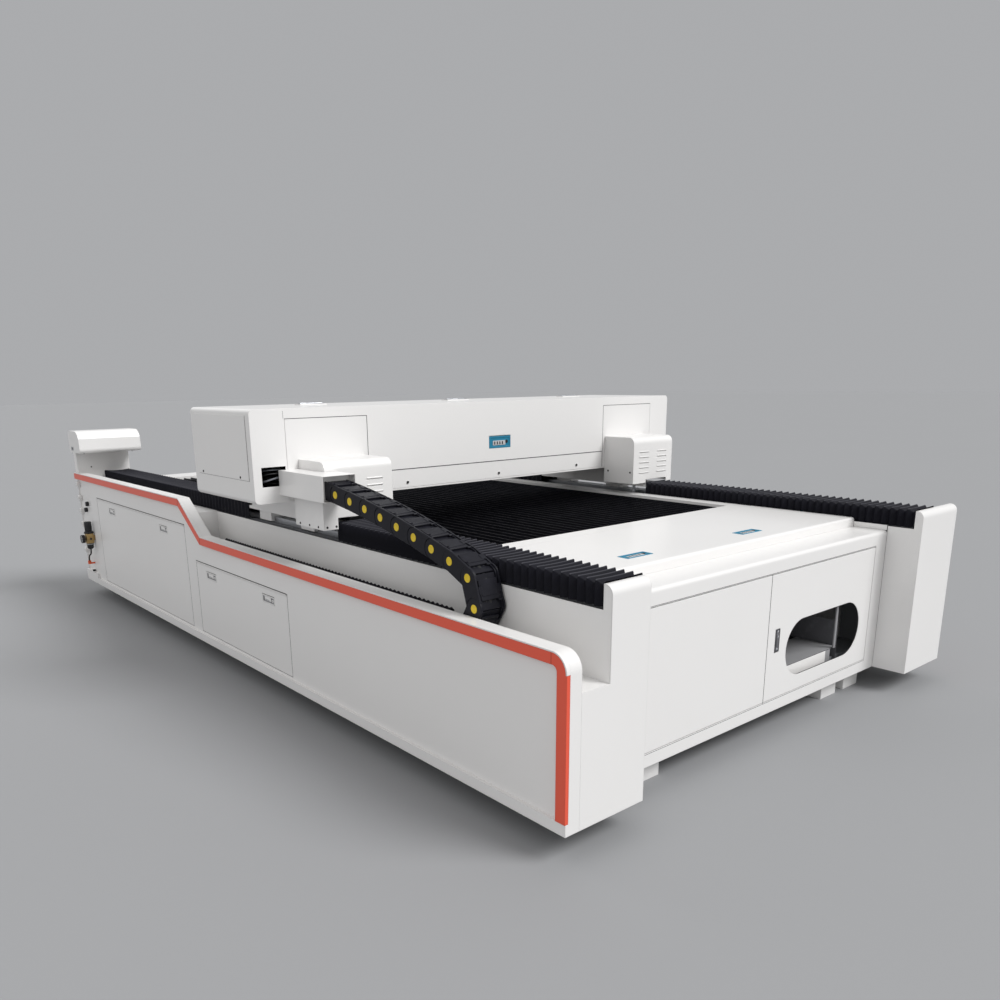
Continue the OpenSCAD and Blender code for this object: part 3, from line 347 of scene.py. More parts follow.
class Nodes:
    """A node tree. node() adds any node."""

    def __init__(self, tree):
        self.tree = tree

    def node(self, kind, settings=None, sockets=None, output=0):
        """A node of that kind: its settings are set first, then its sockets' values or links."""
        node = self.tree.nodes.new(kind)
        for key, value in (settings or {}).items():
            setattr(node, key, value)
        for key, value in (sockets or {}).items():
            self.feed(node.inputs[key], value)
        return Value(self, node.outputs[output])

    def feed(self, socket, value):
        """Links a Value to a socket, or sets the socket to a plain value."""
        if isinstance(value, Value):
            self.tree.links.new(value.socket, socket)
        elif socket.type == "RGBA":
            socket.default_value = (*value[:3], 1.0)
        else:
            socket.default_value = value


class Finish(Nodes):
    """One procedural material. surface() sets its shader."""

    def __init__(self, name):
        self.material = bpy.data.materials.new(name)
        self.material.use_nodes = True
        super().__init__(self.material.node_tree)
        self.shader = self.tree.nodes["Principled BSDF"]

    def stretched(self, scale=(1.0, 1.0, 1.0)):
        """Object coordinates, stretched by a scale along each axis."""
        where = self.node("ShaderNodeTexCoord", output="Object")
        return self.node("ShaderNodeMapping", {"vector_type": "POINT"}, {"Vector": where, "Scale": scale})

    def noise(self, scale, detail=2.0, stretch=(1.0, 1.0, 1.0)):
        """Noise on the stretched coordinates."""
        sockets = {"Vector": self.stretched(stretch), "Scale": scale, "Detail": detail}
        return self.node("ShaderNodeTexNoise", None, sockets)

    def mix(self, share, a, b):
        """Colour a passing to colour b."""
        return self.node("ShaderNodeMix", {"data_type": "RGBA"}, {0: share, 6: a, 7: b}, output=2)

    def bump(self, height, distance, strength=1.0, edge=0.0):
        """A relief of that height, over edges eased by a small radius where edge is given."""
        sockets = {"Height": height, "Distance": distance, "Strength": strength}
        if edge:
            sockets["Normal"] = self.node("ShaderNodeBevel", {"samples": 4}, {"Radius": edge})
        return self.node("ShaderNodeBump", None, sockets)

    def surface(self, **sockets):
        """Sets or links the shader's sockets, named with _ for a space, and gives the material."""
        for key, value in sockets.items():
            self.feed(self.shader.inputs[key.replace("_", " ")], value)
        return self.material


def shade(colour, factor):
    """A colour times a factor, held at 1."""
    return tuple(min(c * factor, 1.0) for c in colour[:3])


def powder_coat(name, colour, edge=2.5 * MM, roughness=0.3):
    """Satin powder coat: a faint cloudiness, a fine orange-peel relief and eased sheet edges."""
    f = Finish(name)
    cloud = f.noise(1.7, 3.0).over(0.3, 0.7)
    base = f.mix(cloud, shade(colour, 0.975), colour)
    sheen = roughness - 0.03 + f.noise(5.0, 2.0) * 0.06
    peel = f.noise(260.0, 2.0)
    return f.surface(
        Base_Color=base,
        Roughness=sheen,
        Normal=f.bump(peel, 0.00012, 0.35, edge),
        Coat_Weight=0.12,
        Coat_Roughness=0.12,
    )


def moulded(name, colour, roughness=0.42, grain=900.0, relief=0.00008, edge=0.0, worn=1.8, gloss=0.5):
    """Moulded plastic: a fine spark-eroded grain, and slightly rubbed, paler patches."""
    f = Finish(name)
    rub = f.noise(38.0, 4.0).over(0.52, 0.78)
    base = f.mix(rub * 0.5, colour, shade(colour, worn))
    return f.surface(
        Base_Color=base,
        Roughness=roughness + f.noise(60.0, 2.0) * 0.1,
        Normal=f.bump(f.noise(grain, 1.0), relief, 0.6, edge),
        Specular_IOR_Level=gloss,
    )


def metal(name, colour, roughness=0.32, along=(1.0, 1.0, 1.0), relief=0.00002, edge=0.001, patch=0.9):
    """Worked metal: fine lines drawn along one direction and a little patchy tarnish."""
    f = Finish(name)
    lines = f.noise(450.0, 3.0, along)
    tarnish = f.noise(14.0, 4.0).over(0.35, 0.75)
    base = f.mix(tarnish, colour, shade(colour, patch))
    return f.surface(
        Base_Color=base,
        Metallic=1.0,
        Roughness=roughness + lines * 0.14,
        Normal=f.bump(lines, relief, 0.7, edge),
    )


def galvanised(name, colour):
    """Zinc-coated sheet: crystal patches of slightly different brightness and gloss."""
    f = Finish(name)
    where = {"Vector": f.stretched(), "Scale": 45.0}
    crystals = f.node("ShaderNodeTexVoronoi", {"feature": "F1"}, where, output="Color")
    grey = f.node("ShaderNodeSeparateColor", None, {"Color": crystals})
    base = f.mix(grey, shade(colour, 0.82), shade(colour, 1.1))
    return f.surface(Base_Color=base, Metallic=0.85, Roughness=0.36 + grey * 0.14)


def coated_cloth(name, colour, lit_worn_ridge):
    """Coated bellows cloth: a fine plain weave, smoother along the folds, and paler on their crests as wear
    together with a painted highlight.
    """
    f = Finish(name)
    fold = f.node("ShaderNodeAttribute", {"attribute_name": "fold"}, output="Fac")
    dust = f.noise(22.0, 4.0).over(0.35, 0.75)
    # Crest mask: the paler ridge colour on it is wear plus a painted highlight, and it also makes the cloth
    # smoother there.
    pressed_and_lit = fold.over(0.80, 1.0)
    base = f.mix(pressed_and_lit, f.mix(dust * 0.6, colour, shade(colour, 1.7)), lit_worn_ridge)
    threads = {"Vector": f.stretched(), "Scale": 240.0}
    warp, weft = (f.node("ShaderNodeTexWave", {"bands_direction": k}, threads) for k in "XY")
    return f.surface(
        Base_Color=base,
        Roughness=0.62 - pressed_and_lit * 0.14 + dust * 0.1,
        Normal=f.bump(warp * weft + dust * 0.4, 0.0003, 0.3),
        Specular_IOR_Level=0.16,
    )


def plain(name, colour, roughness=0.5, **more):
    """A small even part: its colour clouded a little by one noise."""
    f = Finish(name)
    base = f.mix(f.noise(30.0, 3.0), shade(colour, 0.93), colour)
    return f.surface(Base_Color=base, Roughness=roughness, **more)


# ---------------------------------------------------------------- sizes and colours


def colour_property(name, description, default):
    """A colour that a user may change."""
    return bpy.props.FloatVectorProperty(
        name=name, description=description, default=default, size=3, min=0.0, max=1.0, subtype="COLOR"
    )


def length_property(name, description, default):
    """A length in metres that a user may change."""
    return bpy.props.FloatProperty(
        name=name, description=description, default=default, min=0.0, unit="LENGTH"
    )


class EngraverSizes(bpy.types.PropertyGroup):
    """Sizes that a user would change."""

    near_pleats: bpy.props.IntProperty(
        name="Near pleats", description="Pleats of each bellows before the gantry", default=42, min=6
    )
    far_pleats: bpy.props.IntProperty(
        name="Far pleats", description="Pleats of each bellows behind the gantry", default=56, min=6
    )
    near_depth: length_property("Near pleat depth", "Depth of a pleat before the gantry", 0.0125)
    far_depth: length_property("Far pleat depth", "Depth of a pleat behind the gantry", 0.006)
    link_pitch: length_property("Link pitch", "Distance between two pivots of the cable chain", 0.088)
    cap_radius: length_property("Cap radius", "Radius of the coloured pivot caps of the cable chain", 0.0125)
    floor_size: length_property("Floor", "Side of the floor that the machine stands on", 240.0)


class EngraverColours(bpy.types.PropertyGroup):
    """Colours that a user would change."""

    white: colour_property("Covers", "Powder coat of the covers", (0.815, 0.805, 0.795))
    trim: colour_property("Trim", "Paint of the trim strips", (0.80, 0.10, 0.05))
    frame: colour_property("Frame", "Paint of the welded frame", (0.16, 0.165, 0.175))
    cloth: colour_property("Bellows", "Cloth of the bellows", (0.006, 0.006, 0.010))
    # Crest colour of the bellows folds: wear together with a painted highlight.
    lit_worn_ridge: colour_property("Folds", "Pressed folds of the bellows", (0.070, 0.070, 0.082))
    chain: colour_property("Chain", "Plastic of the cable chain", (0.011, 0.011, 0.016))
    cap: colour_property("Caps", "Pivot caps of the cable chain", (0.78, 0.56, 0.02))
    latch: colour_property("Latches", "Plastic of the deck and gantry latches", (0.009, 0.20, 0.33))
    slats: colour_property("Slats", "Steel of the table slats", (0.022, 0.022, 0.028))
    floor: colour_property("Floor", "Floor and background", (0.315, 0.319, 0.328))


FINISHES = {}


def finish(key):
    """A finish made by the finishes operator."""
    if key not in FINISHES:
        raise RuntimeError("make the finishes first: " + key)
    return FINISHES[key]


# ---------------------------------------------------------------- operators


class ENGRAVER_OT_finishes(bpy.types.Operator):
    """Makes every finish and gives one to each node of the frame"""

    bl_idname = "engraver.finishes"
    bl_label = "Finishes"

    def execute(self, context):
        colours = context.scene.engraver_colours
        white = tuple(colours.white)
        steel, brass = (0.52, 0.53, 0.55), (0.62, 0.43, 0.19)
        made = {
            "white_paint": powder_coat("white_powder_coat", white),
            "frame_paint": powder_coat("frame_powder_coat", tuple(colours.frame), 3 * MM, 0.5),
            "red_trim": powder_coat("trim_paint", tuple(colours.trim), 3 * MM, 0.34),
            # The bellows' crest colour is wear plus a painted highlight.
            "bellows_cloth": coated_cloth("bellows_cloth", tuple(colours.cloth), tuple(colours.lit_worn_ridge)),
            "chain_plastic": moulded("chain_plastic", tuple(colours.chain), 0.38, gloss=0.2),
            "cap_plastic": moulded("cap_plastic", tuple(colours.cap), 0.38, worn=0.8),
            "black_plastic": moulded("black_plastic", (0.013, 0.013, 0.015), 0.4),
            "blue_plastic": moulded("latch_plastic", tuple(colours.latch), 0.34, worn=1.25),
            "grey_plastic": moulded("zinc_casting", (0.48, 0.48, 0.49), 0.36, worn=1.2),
            "red_plastic": moulded("red_plastic", (0.6, 0.02, 0.012), 0.3, worn=1.3),
            "orange_plastic": moulded("orange_plastic", (0.75, 0.11, 0.025), 0.35, worn=1.3),
            "bare_steel": metal("ground_steel", steel, 0.28, (0.3, 8.0, 8.0)),
            "dark_steel": metal("blackened_steel", (0.045, 0.045, 0.05), 0.42),
            "slat_steel": metal(
                "slat_steel", tuple(colours.slats), 0.5, (4.0, 0.1, 4.0), edge=0.0006, patch=1.6
            ),
            "sheet_zinc": galvanised("zinc_sheet", (0.58, 0.59, 0.61)),
            # Zinc of the debris tray darkened as painted shade inside its compartment.
            "shaded_tray_zinc": galvanised("shade_darkened_zinc_tray", (0.12, 0.12, 0.13)),
            "service_brass": metal("service_brass", brass, 0.3, patch=0.75),
            "tube_glass": plain("tube_glass", (0.75, 0.84, 0.88), 0.06, Coat_Weight=0.5, Alpha=0.55),
            "hose_rubber": moulded("hose_rubber", (0.01, 0.01, 0.011), 0.48),
            "pale_cable": plain("pale_cable", (0.24, 0.25, 0.28), 0.35),
            "window_black": plain("window_black", (0.004, 0.0045, 0.007), 0.08, Coat_Weight=0.6),
            "dial_white": plain("dial_white", (0.72, 0.72, 0.7), 0.35),
            "joint_shadow": plain("joint_shadow", (0.10, 0.022, 0.012), 0.6),
            "seam_shadow": plain("seam_shadow", (0.05, 0.05, 0.055), 0.7),
            "lock_grey": moulded("lock_grey", (0.12, 0.12, 0.13), 0.4),
            # Mid grey that paints shade: the sunk wells of the side latches and the shelf, post and fold end
            # behind the window.
            "well_grey": plain("well_grey", (0.30, 0.30, 0.31), 0.5),
        }
        FINISHES.update(made)
        slots = {row["node"]: row["material_slot"] for row in FRAME["record"]["subparts"]}
        # The debris tray takes the zinc darkened as painted shade.
        slots["debris_tray"] = "shaded_tray_zinc"
        for name, node in NODES.items():
            key = slots[name]
            for holder in node.material_slots:
                holder.material = made[key]
            if not node.material_slots:
                node.data.materials.append(made[key])
        return {"FINISHED"}


class ENGRAVER_OT_bellows(bpy.types.Operator):
    """Pleated sleeves over the rails, before and behind the gantry"""

    bl_idname = "engraver.bellows"
    bl_label = "Bellows"

    def execute(self, context):
        sizes = context.scene.engraver_sizes
        for side in ("left", "right"):
            self.sleeve(side + "_near_bellows", sizes.near_pleats, sizes.near_depth, 0.0015, False)
            self.sleeve(side + "_far_bellows", sizes.far_pleats, sizes.far_depth, 0.005, True)
        return {"FINISHED"}

    def sleeve(self, node, pleats, depth, sag, fixed_far):
        """A U-shaped section carried along y; its inset is depth * (1 - |2 * part - 1|) over each pleat,
        and its top sags by sag * 4u(1 - u) across the width.
        """
        lo, hi = corners(node)
        wall, corner, rings_per_pleat, foot_points = 0.0012, 0.004, 8, 2
        side_shade, sharp_angle = 0.78, 20.0
        v = np.linspace(0, 1, pleats * rings_per_pleat + 1)
        inset = depth * (1 - np.abs(2 * ((v * pleats) % 1) - 1))
        u = np.linspace(0, 1, 9)[None]

        def section(d):
            """Foot, corner and top points on the left, mirrored to the right, at an inset d."""
            left, right, top = ((c + e * d)[:, None] for c, e in ((lo[0], 1), (hi[0], -1), (hi[2], -1)))
            roof = left + corner + (right - left - 2 * corner) * u
            x = np.hstack([left + [[0, 0, 0.3 * corner]], roof, right - [[0.3 * corner, 0, 0]]])
            foot = np.full_like(left, lo[2])
            eaves = top - [[corner, 0.3 * corner]]
            return x, np.hstack([foot, eaves, top - sag * 4 * u * (1 - u), eaves[:, ::-1], foot])

        xo, zo = section(inset)
        xi, zi = section(inset + wall)
        x, z = np.hstack([xo, xi[:, ::-1]]), np.hstack([zo, zi[:, ::-1]])
        y = lo[1] + (hi[1] - lo[1]) * v
        rings = np.stack([x, np.broadcast_to(y[:, None], x.shape), z], -1)
        place = np.arange(xo.shape[1])
        at_side = (place < foot_points) | (place > xo.shape[1] - 1 - foot_points)
        # Fold value for the crest colour, a painted highlight with wear, weakened on the sides by side_shade as
        # painted shade.
        pressed_and_lit = (1 - inset / depth)[:, None] * np.where(at_side, side_shade, 1.0)
        fold = np.hstack([pressed_and_lit, np.zeros(xi.shape)])
        shell = Shell()
        shell.loft(rings, fold=fold.ravel(), share=np.repeat(1 - v if fixed_far else v, x.shape[1]))
        middle = (lo + hi) / 2
        ends = [(middle[0], end[1], middle[2]) for end in ((hi, lo) if fixed_far else (lo, hi))]
        piece(node + "_sleeve", shell, "bellows_cloth", None, node, sharp_angle, True, ends)


class ENGRAVER_OT_drag_chain(bpy.types.Operator):
    """Cable chain: links between pivots on the run in the trough, round the bend and up to the gantry"""

    bl_idname = "engraver.drag_chain"
    bl_label = "Cable chain"

    def execute(self, context):
        sizes = context.scene.engraver_sizes
        lo, hi = corners("drag_chain")
        height, radius, fall, turned = 60.0, 105.0, (0.55, 0.45), 165
        width = (hi[0] - lo[0]) / MM
        low = lo[2] + height / 2 * MM
        bend_y = lo[1] + (radius + height / 2) * MM
        end_y, end_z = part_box("chain_bracket")[0].y + 0.030, hi[2] - height / 2 * MM
        shift = sizes.link_pitch / 4
        path = self.route(low, bend_y, hi[1] - shift, end_y + shift, end_z, radius * MM, fall, turned)
        steps = np.linalg.norm(np.diff(path, axis=0), axis=1)
        run = np.concatenate([[0], np.cumsum(steps)])
        links = int(round(run[-1] / sizes.link_pitch))
        spots = np.linspace(0, run[-1], links + 1)
        pivots = np.stack([np.interp(spots, run, path[:, i]) for i in (0, 1)], -1)
        lower = hi[1] - bend_y
        bend = radius * MM * math.radians(turned)
        share_knots = [0, lower, lower + bend, run[-1]], [0, 0.5, 0.5, 1]
        shell = Shell()
        self.links(shell, lo[0], pivots, np.interp(spots, *share_knots), width, height, sizes.cap_radius / MM)
        self.cables(shell, lo[0], path, np.interp(run, *share_knots))
        middle = (lo[0] + hi[0]) / 2
        ends = [(middle, bend_y, low), (middle, end_y, end_z)]
        paints = "chain_plastic cap_plastic hose_rubber"
        piece("cable_chain_links", shell, paints, None, "drag_chain", share=ends)
        return {"FINISHED"}

    def route(self, low, bend_y, anchor_y, end_y, end_z, r, fall, turned):
        """Middle line (y, z): a flat run, an arc of turned degrees, then z = end - drop * (a*t + b*t^2)."""
        steps, clear = 60, 0.01
        lower = np.stack([np.linspace(anchor_y, bend_y, steps), np.full(steps, low)], -1)
        turn = np.radians(np.linspace(270, 270 - turned, steps))
        arc = np.stack([bend_y + r * np.cos(turn), low + r + r * np.sin(turn)], -1)
        t = np.linspace(1, 0, steps)
        upper_y = end_y + (bend_y - end_y) * t
        upper_z = end_z - (end_z - low - 2 * r) * (fall[0] * t + fall[1] * t**2)
        upper = np.stack([upper_y, upper_z], -1)[upper_y > arc[-1, 0] + clear]
        return np.vstack([lower, arc[1:], upper])

    def links(self, shell, x0, pivots, pivot_share, width, height, cap_r):
        """Each link's local (along, out, across) goes to pivot + along * t + out * n + across * x."""
        chord = pivots[1:] - pivots[:-1]
        pitch = np.linalg.norm(chord, axis=1)
        t = chord / pitch[:, None]
        n = np.stack([-t[:, 1], t[:, 0]], -1)
        p = pitch.mean() / MM

        def carry(local, paint, rigid):
            """local is rings (k, m, 3) of (along, out, across) in mm; all links are carried at once.
            A rigid skin keeps the share of one spot along its link; the others' shares vary along it.
            """
            k, m = local.shape[:2]
            flat = local.reshape(-1, 3) * MM
            along = flat[None, :, 0, None] * t[:, None]
            out = flat[None, :, 1, None] * n[:, None]
            yz = pivots[:-1, None] + along + out
            x = np.broadcast_to(x0 + flat[None, :, 2, None], yz.shape[:2] + (1,))
            points = np.concatenate([x, yz], -1)
            part = flat[None, :, 0] / (p * MM) if rigid is None else rigid
            part = np.broadcast_to(part, yz.shape[:2])
            share = pivot_share[:-1, None] + (pivot_share[1:] - pivot_share[:-1])[:, None] * part
            for i in range(len(t)):
                shell.loft(points[i].reshape(k, m, 3), paint, share=share[i])

        half = height / 2
        boss = np.radians(np.linspace(90, -90, 13))
        hollow = np.radians(np.linspace(-75.5, 75.5, 11))
        reach = half + 1.2
        plate = np.vstack([
            np.stack([p + half * np.cos(boss), half * np.sin(boss)], -1),
            np.stack([reach * np.cos(hollow), np.clip(reach * np.sin(hollow), -half, half)], -1),
        ])
        wall, edge = 6.5, 1.2
        for inner, outer, s in ((wall, 0.0, 1), (width - wall, width, -1)):
            rings = []
            for d, w in ((0, inner), (0, outer + s * edge), (edge, outer)):
                x = plate[:, 0]
                x = np.where(x > p, p + (x - p) * (half - d) / half, x + d * (x < p * 0.5))
                rings.append(np.column_stack([x, plate[:, 1] * ((half - d) / half), np.full(len(x), w)]))
            carry(np.array(rings), 0, None)
        tongue = np.radians(np.linspace(90, 270, 13))
        tail = np.vstack([
            np.stack([(half - 3) * np.cos(tongue), (half - 3) * np.sin(tongue)], -1),
            [[p * 0.55, -half + 3], [p * 0.55, half - 3]],
        ])
        for a, b in ((wall, 11.0), (width - 11.0, width - wall)):
            carry(np.array([np.column_stack([tail, np.full(len(tail), w)]) for w in (a, b)]), 0, None)
        turn = np.linspace(0, 2 * np.pi, 20, endpoint=False)
        cap = [(0.0, -2.0), (0.0, 0.6), (1.0, 1.3), (3.5, 1.3), (4.5, 0.8)]
        for outer, s in ((0.0, -1), (width, 1)):
            rings = []
            for r, w in [(cap_r - inset, w) for inset, w in cap]:
                across = np.full(len(turn), outer + s * w)
                rings.append(np.column_stack([p + r * np.cos(turn), r * np.sin(turn), across]))
            carry(np.array(rings), 1, 1.0)
        for s in (1, -1):
            self.bars(carry, p, half, width, s)

    def bars(self, carry, p, half, width, s):
        """Cross bars and their hinge lugs: rounded slabs laid across the link, on its outer or inner side."""

        def slab(a, b, w0, w1, v0, v1, r):
            """A rounded slab from a to b along the link, w0 to w1 across it and v0 to v1 out of it."""
            outline = rounded(b - a, w1 - w0, r, 2)
            rings = []
            for d, v in ((0, v0), (0, v1 - 1.0), (0.9, v1)):
                x, z = outline(d).T
                rings.append(np.column_stack([x + (a + b) / 2, np.full(len(x), s * v), z + (w0 + w1) / 2]))
            carry(np.array(rings), 0, 0.5)

        slab(p * -0.10, p * 1.04, 11.0, width - 11.0, half - 12.0, half - 8.0, 2.0)
        slab(p * 0.20, p * 0.86, 12.0, width - 12.0, half - 6.0, half - 1.2, 3.0)
        slab(p * 0.34, p * 0.72, 16.0, width - 16.0, half - 2.0, half + 0.2, 2.0)
        for w0, w1 in ((7.0, 20.0), (width - 20.0, width - 7.0)):
            slab(p * 0.40, p * 0.66, w0, w1, half - 4.0, half + 1.4, 2.0)
            slab(p * 0.12, p * 0.20, w0, w0 + 5.0 if w0 < width / 2 else w1, half - 4.0, half - 0.5, 1.0)

    def cables(self, shell, x0, path, share):
        """Cables along the chain's middle line, each a circle carried along it: (across, out, radius)."""
        keep = slice(2, -2)
        t = np.gradient(path, axis=0)
        t /= np.linalg.norm(t, axis=1, keepdims=True)
        inner = (22.0, -6.0, 8.0), (39.0, -4.0, 9.0), (56.0, -7.0, 8.0), (70.0, -5.0, 6.5)
        outer = (30.0, 9.0, 8.0), (47.0, 10.0, 8.5), (63.0, 9.0, 7.5)
        for across, out, r in inner + outer:
            line = np.column_stack([np.full(len(path), x0 + across * MM), path])
            line[:, 1:] += np.stack([-t[:, 1], t[:, 0]], -1) * out * MM
            shell.tube(line[keep], r * MM, 2, 8, side=(1.0, 0.0, 0.0), share=share[keep])


class ENGRAVER_OT_fasteners(bpy.types.Operator):
    """Screws of the covers and of the chain's bracket"""

    bl_idname = "engraver.fasteners"
    bl_label = "Fasteners"

    def execute(self, context):
        gantry, bed = Shell(), Shell()
        for x in (-477, 0, 477):
            spot = at(x, 0, 712)
            spot[1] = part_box("gantry_panels")[0].y
            gantry.screw(Place(spot, "near"), 5.5)
        covers = [(s * 670, y, 673, "left" if s > 0 else "right", 4.5) for s in (-1, 1) for y in (1295, 1430)]
        bracket = [(-974, y, 611, "left", 4.0) for y in (1293, 1355, 1422)]
        bracket += [(x, 1254, 612, "near", 4.0) for x in (-961, -925)]
        console = [(-977, 3868, 648, "near", 4.0)] + [(x, 3712, 735, "down", 4.0) for x in (-1050, -790)]
        for shell, spots in ((gantry, covers + bracket), (bed, console)):
            for x, y, h, facing, radius in spots:
                shell.screw(Place(at(x, y, h), facing), radius)
        piece("gantry_screws", gantry, "dark_steel black_plastic", "gantry")
        piece("bed_screws", bed, "dark_steel black_plastic", "bed")
        return {"FINISHED"}


def grip_pin(shell, place, length, across, paint):
    """The cross pin that a latch swings on, behind its outer edge."""
    pin = place.moved(0, across / 2 - 2, -4)
    shell.block(pin, (-length / 2 + 6, -1.5, -1.5), (length / 2 - 6, 1.5, 2.0), 0.6, 0.3, paint)


class ENGRAVER_OT_deck_latches(bpy.types.Operator):
    """Coloured slide latches of the hatch plate and of the gantry cover"""

    bl_idname = "engraver.deck_latches"
    bl_label = "Deck and gantry latches"

    def execute(self, context):
        hatch, gantry = ("up", 44.0), ("near", 49.0)
        latches = {"left_hatch_latch": hatch, "right_hatch_latch": hatch, "gantry_latch": gantry}
        for name, (facing, across) in latches.items():
            self.latch(name, face_of(name, facing), 120.0, across)
        return {"FINISHED"}

    def latch(self, name, place, length, across):
        """A framed plate: a rounded rim, a sunk floor, a grip bar, a lock barrel and the cross pin."""
        shell = Shell()
        rim = [(0, -2.4), (0, 0.2), (0.8, 1.0), (6.2, 1.0), (7.2, 0.2), (7.2, -2.4)]
        shell.rim(place, rounded(length, across, 3.0), rim, 0)
        shell.slab(place, rounded(length - 14, across - 14, 2.0), [(0, -2.4), (0, -0.9)], 0)
        grip = (-length * 0.33, -across * 0.27, -0.9), (length * 0.26, across * 0.13, 0.7)
        shell.block(place, *grip, 2.0, 0.7, 1)
        for k in range(4):
            x = -length * 0.27 + k * length * 0.12
            shell.block(place, (x, -across * 0.2, 0.5), (x + length * 0.05, across * 0.06, 0.9), 0.8, 0.3, 2)
        lock = place.moved(length * 0.31, across * 0.02)
        shell.turned(lock, [(7.5, -0.9), (7.5, 0.7), (6.8, 1.0), (5.5, 1.0), (5.0, 0.5), (0.1, 0.5)], 3, 24)
        shell.block(lock, (-3.5, -1.0, 0.4), (3.5, 1.0, 0.9), 0.4, 0.2, 2)
        grip_pin(shell, place, length, across, 2)
        paints = "blue_plastic grey_plastic dark_steel black_plastic"
        piece(name + "_plate", shell, paints, name, name)


class ENGRAVER_OT_side_latches(bpy.types.Operator):
    """Cast latches of the access panels on the left side"""

    bl_idname = "engraver.side_latches"
    bl_label = "Side latches"

    def execute(self, context):
        for name in [panel + "_panel_latch_" + k for panel in ("front", "rear") for k in "ab"]:
            self.latch(name, face_of(name, "left"), 98.0, 30.0)
        return {"FINISHED"}

    def latch(self, name, place, length, across):
        """A bright frame round a sunk well painted dark as shade, with a grip that is paler at its upper edge.
        """
        shell = Shell()
        rim = [(0, -2.4), (0, 0.3), (0.7, 1.0), (3.4, 1.0), (4.0, 0.4), (4.0, -2.4)]
        shell.rim(place, rounded(length, across, 3.0), rim, 0)
        # The sunk floor in the darker grey is painted shade.
        shell.slab(place, rounded(length - 8, across - 8, 1.5), [(0, -2.4), (0, -1.2)], 3)
        grip = (-length * 0.30, -across * 0.16, -1.2), (length * 0.22, across * 0.34, 0.9)
        pale = (-length * 0.24, -across * 0.12, 0.7), (length * 0.10, across * 0.02, 1.1)
        shell.block(place, *grip, 1.5, 0.8, 0)
        shell.block(place, *pale, 1.0, 0.3, 2)
        for x in (-length * 0.38, length * 0.25):
            shell.block(place, (x, -across * 0.30, -1.2), (x + 2.5, across * 0.22, -0.4), 0.6, 0.3, 1)
        lock = place.moved(length * 0.34, 0)
        shell.turned(lock, [(6.0, -1.6), (6.0, 0.4), (5.2, 0.9), (3.6, 0.9), (3.0, 0.4), (0.1, 0.4)], 0, 24)
        shell.block(lock, (-0.6, -2.6, 0.3), (0.6, 2.6, 0.8), 0.3, 0.2, 1)
        grip_pin(shell, place, length, across, 1)
        paints = "white_paint black_plastic grey_plastic well_grey"
        piece(name + "_plate", shell, paints, name, name)


class ENGRAVER_OT_door_lock(bpy.types.Operator):
    """Swing-handle lock of the end door"""

    bl_idname = "engraver.door_lock"
    bl_label = "Door lock"

    def execute(self, context):
        length, across = 79.0, 27.0
        place = face_of("door_lock", "near")
        shell = Shell()
        outline = rounded(across, length, 4.0)
        shell.slab(place, outline, [(0, -2.4), (0, 0.3), (0.8, 1.0)], 0)
        shell.rim(place, outline, [(2.0, 0.8), (2.0, 1.5), (2.6, 1.8), (3.6, 1.8), (4.2, 1.0), (4.2, 0.8)], 1)
        shell.block(place, (-6.5, -20.0, 0.8), (6.5, 22.0, 2.4), 3.0, 1.0, 2)
        stud = [(4.2, 0.6), (4.2, 1.4), (3.6, 1.9), (2.2, 1.9), (1.8, 1.2), (0.1, 1.2)]
        for z in (-30.0, 30.0):
            shell.turned(place.moved(0, z), stud, 3, 20)
        shell.turned(place.moved(0, 12.0), [(4.0, 2.2), (4.0, 2.9), (3.4, 3.2), (0.1, 3.2)], 3, 20)
        shell.block(place, (-0.5, 10.0, 3.0), (0.5, 14.0, 3.4), 0.3, 0.15, 0)
        shell.block(place, (-5.0, -37.0, -5.5), (5.0, -34.0, -2.0), 0.6, 0.3, 0)
        paints = "lock_grey dark_steel lock_grey bare_steel"
        piece("door_lock_plate", shell, paints, "door_lock", "door_lock")
        return {"FINISHED"}


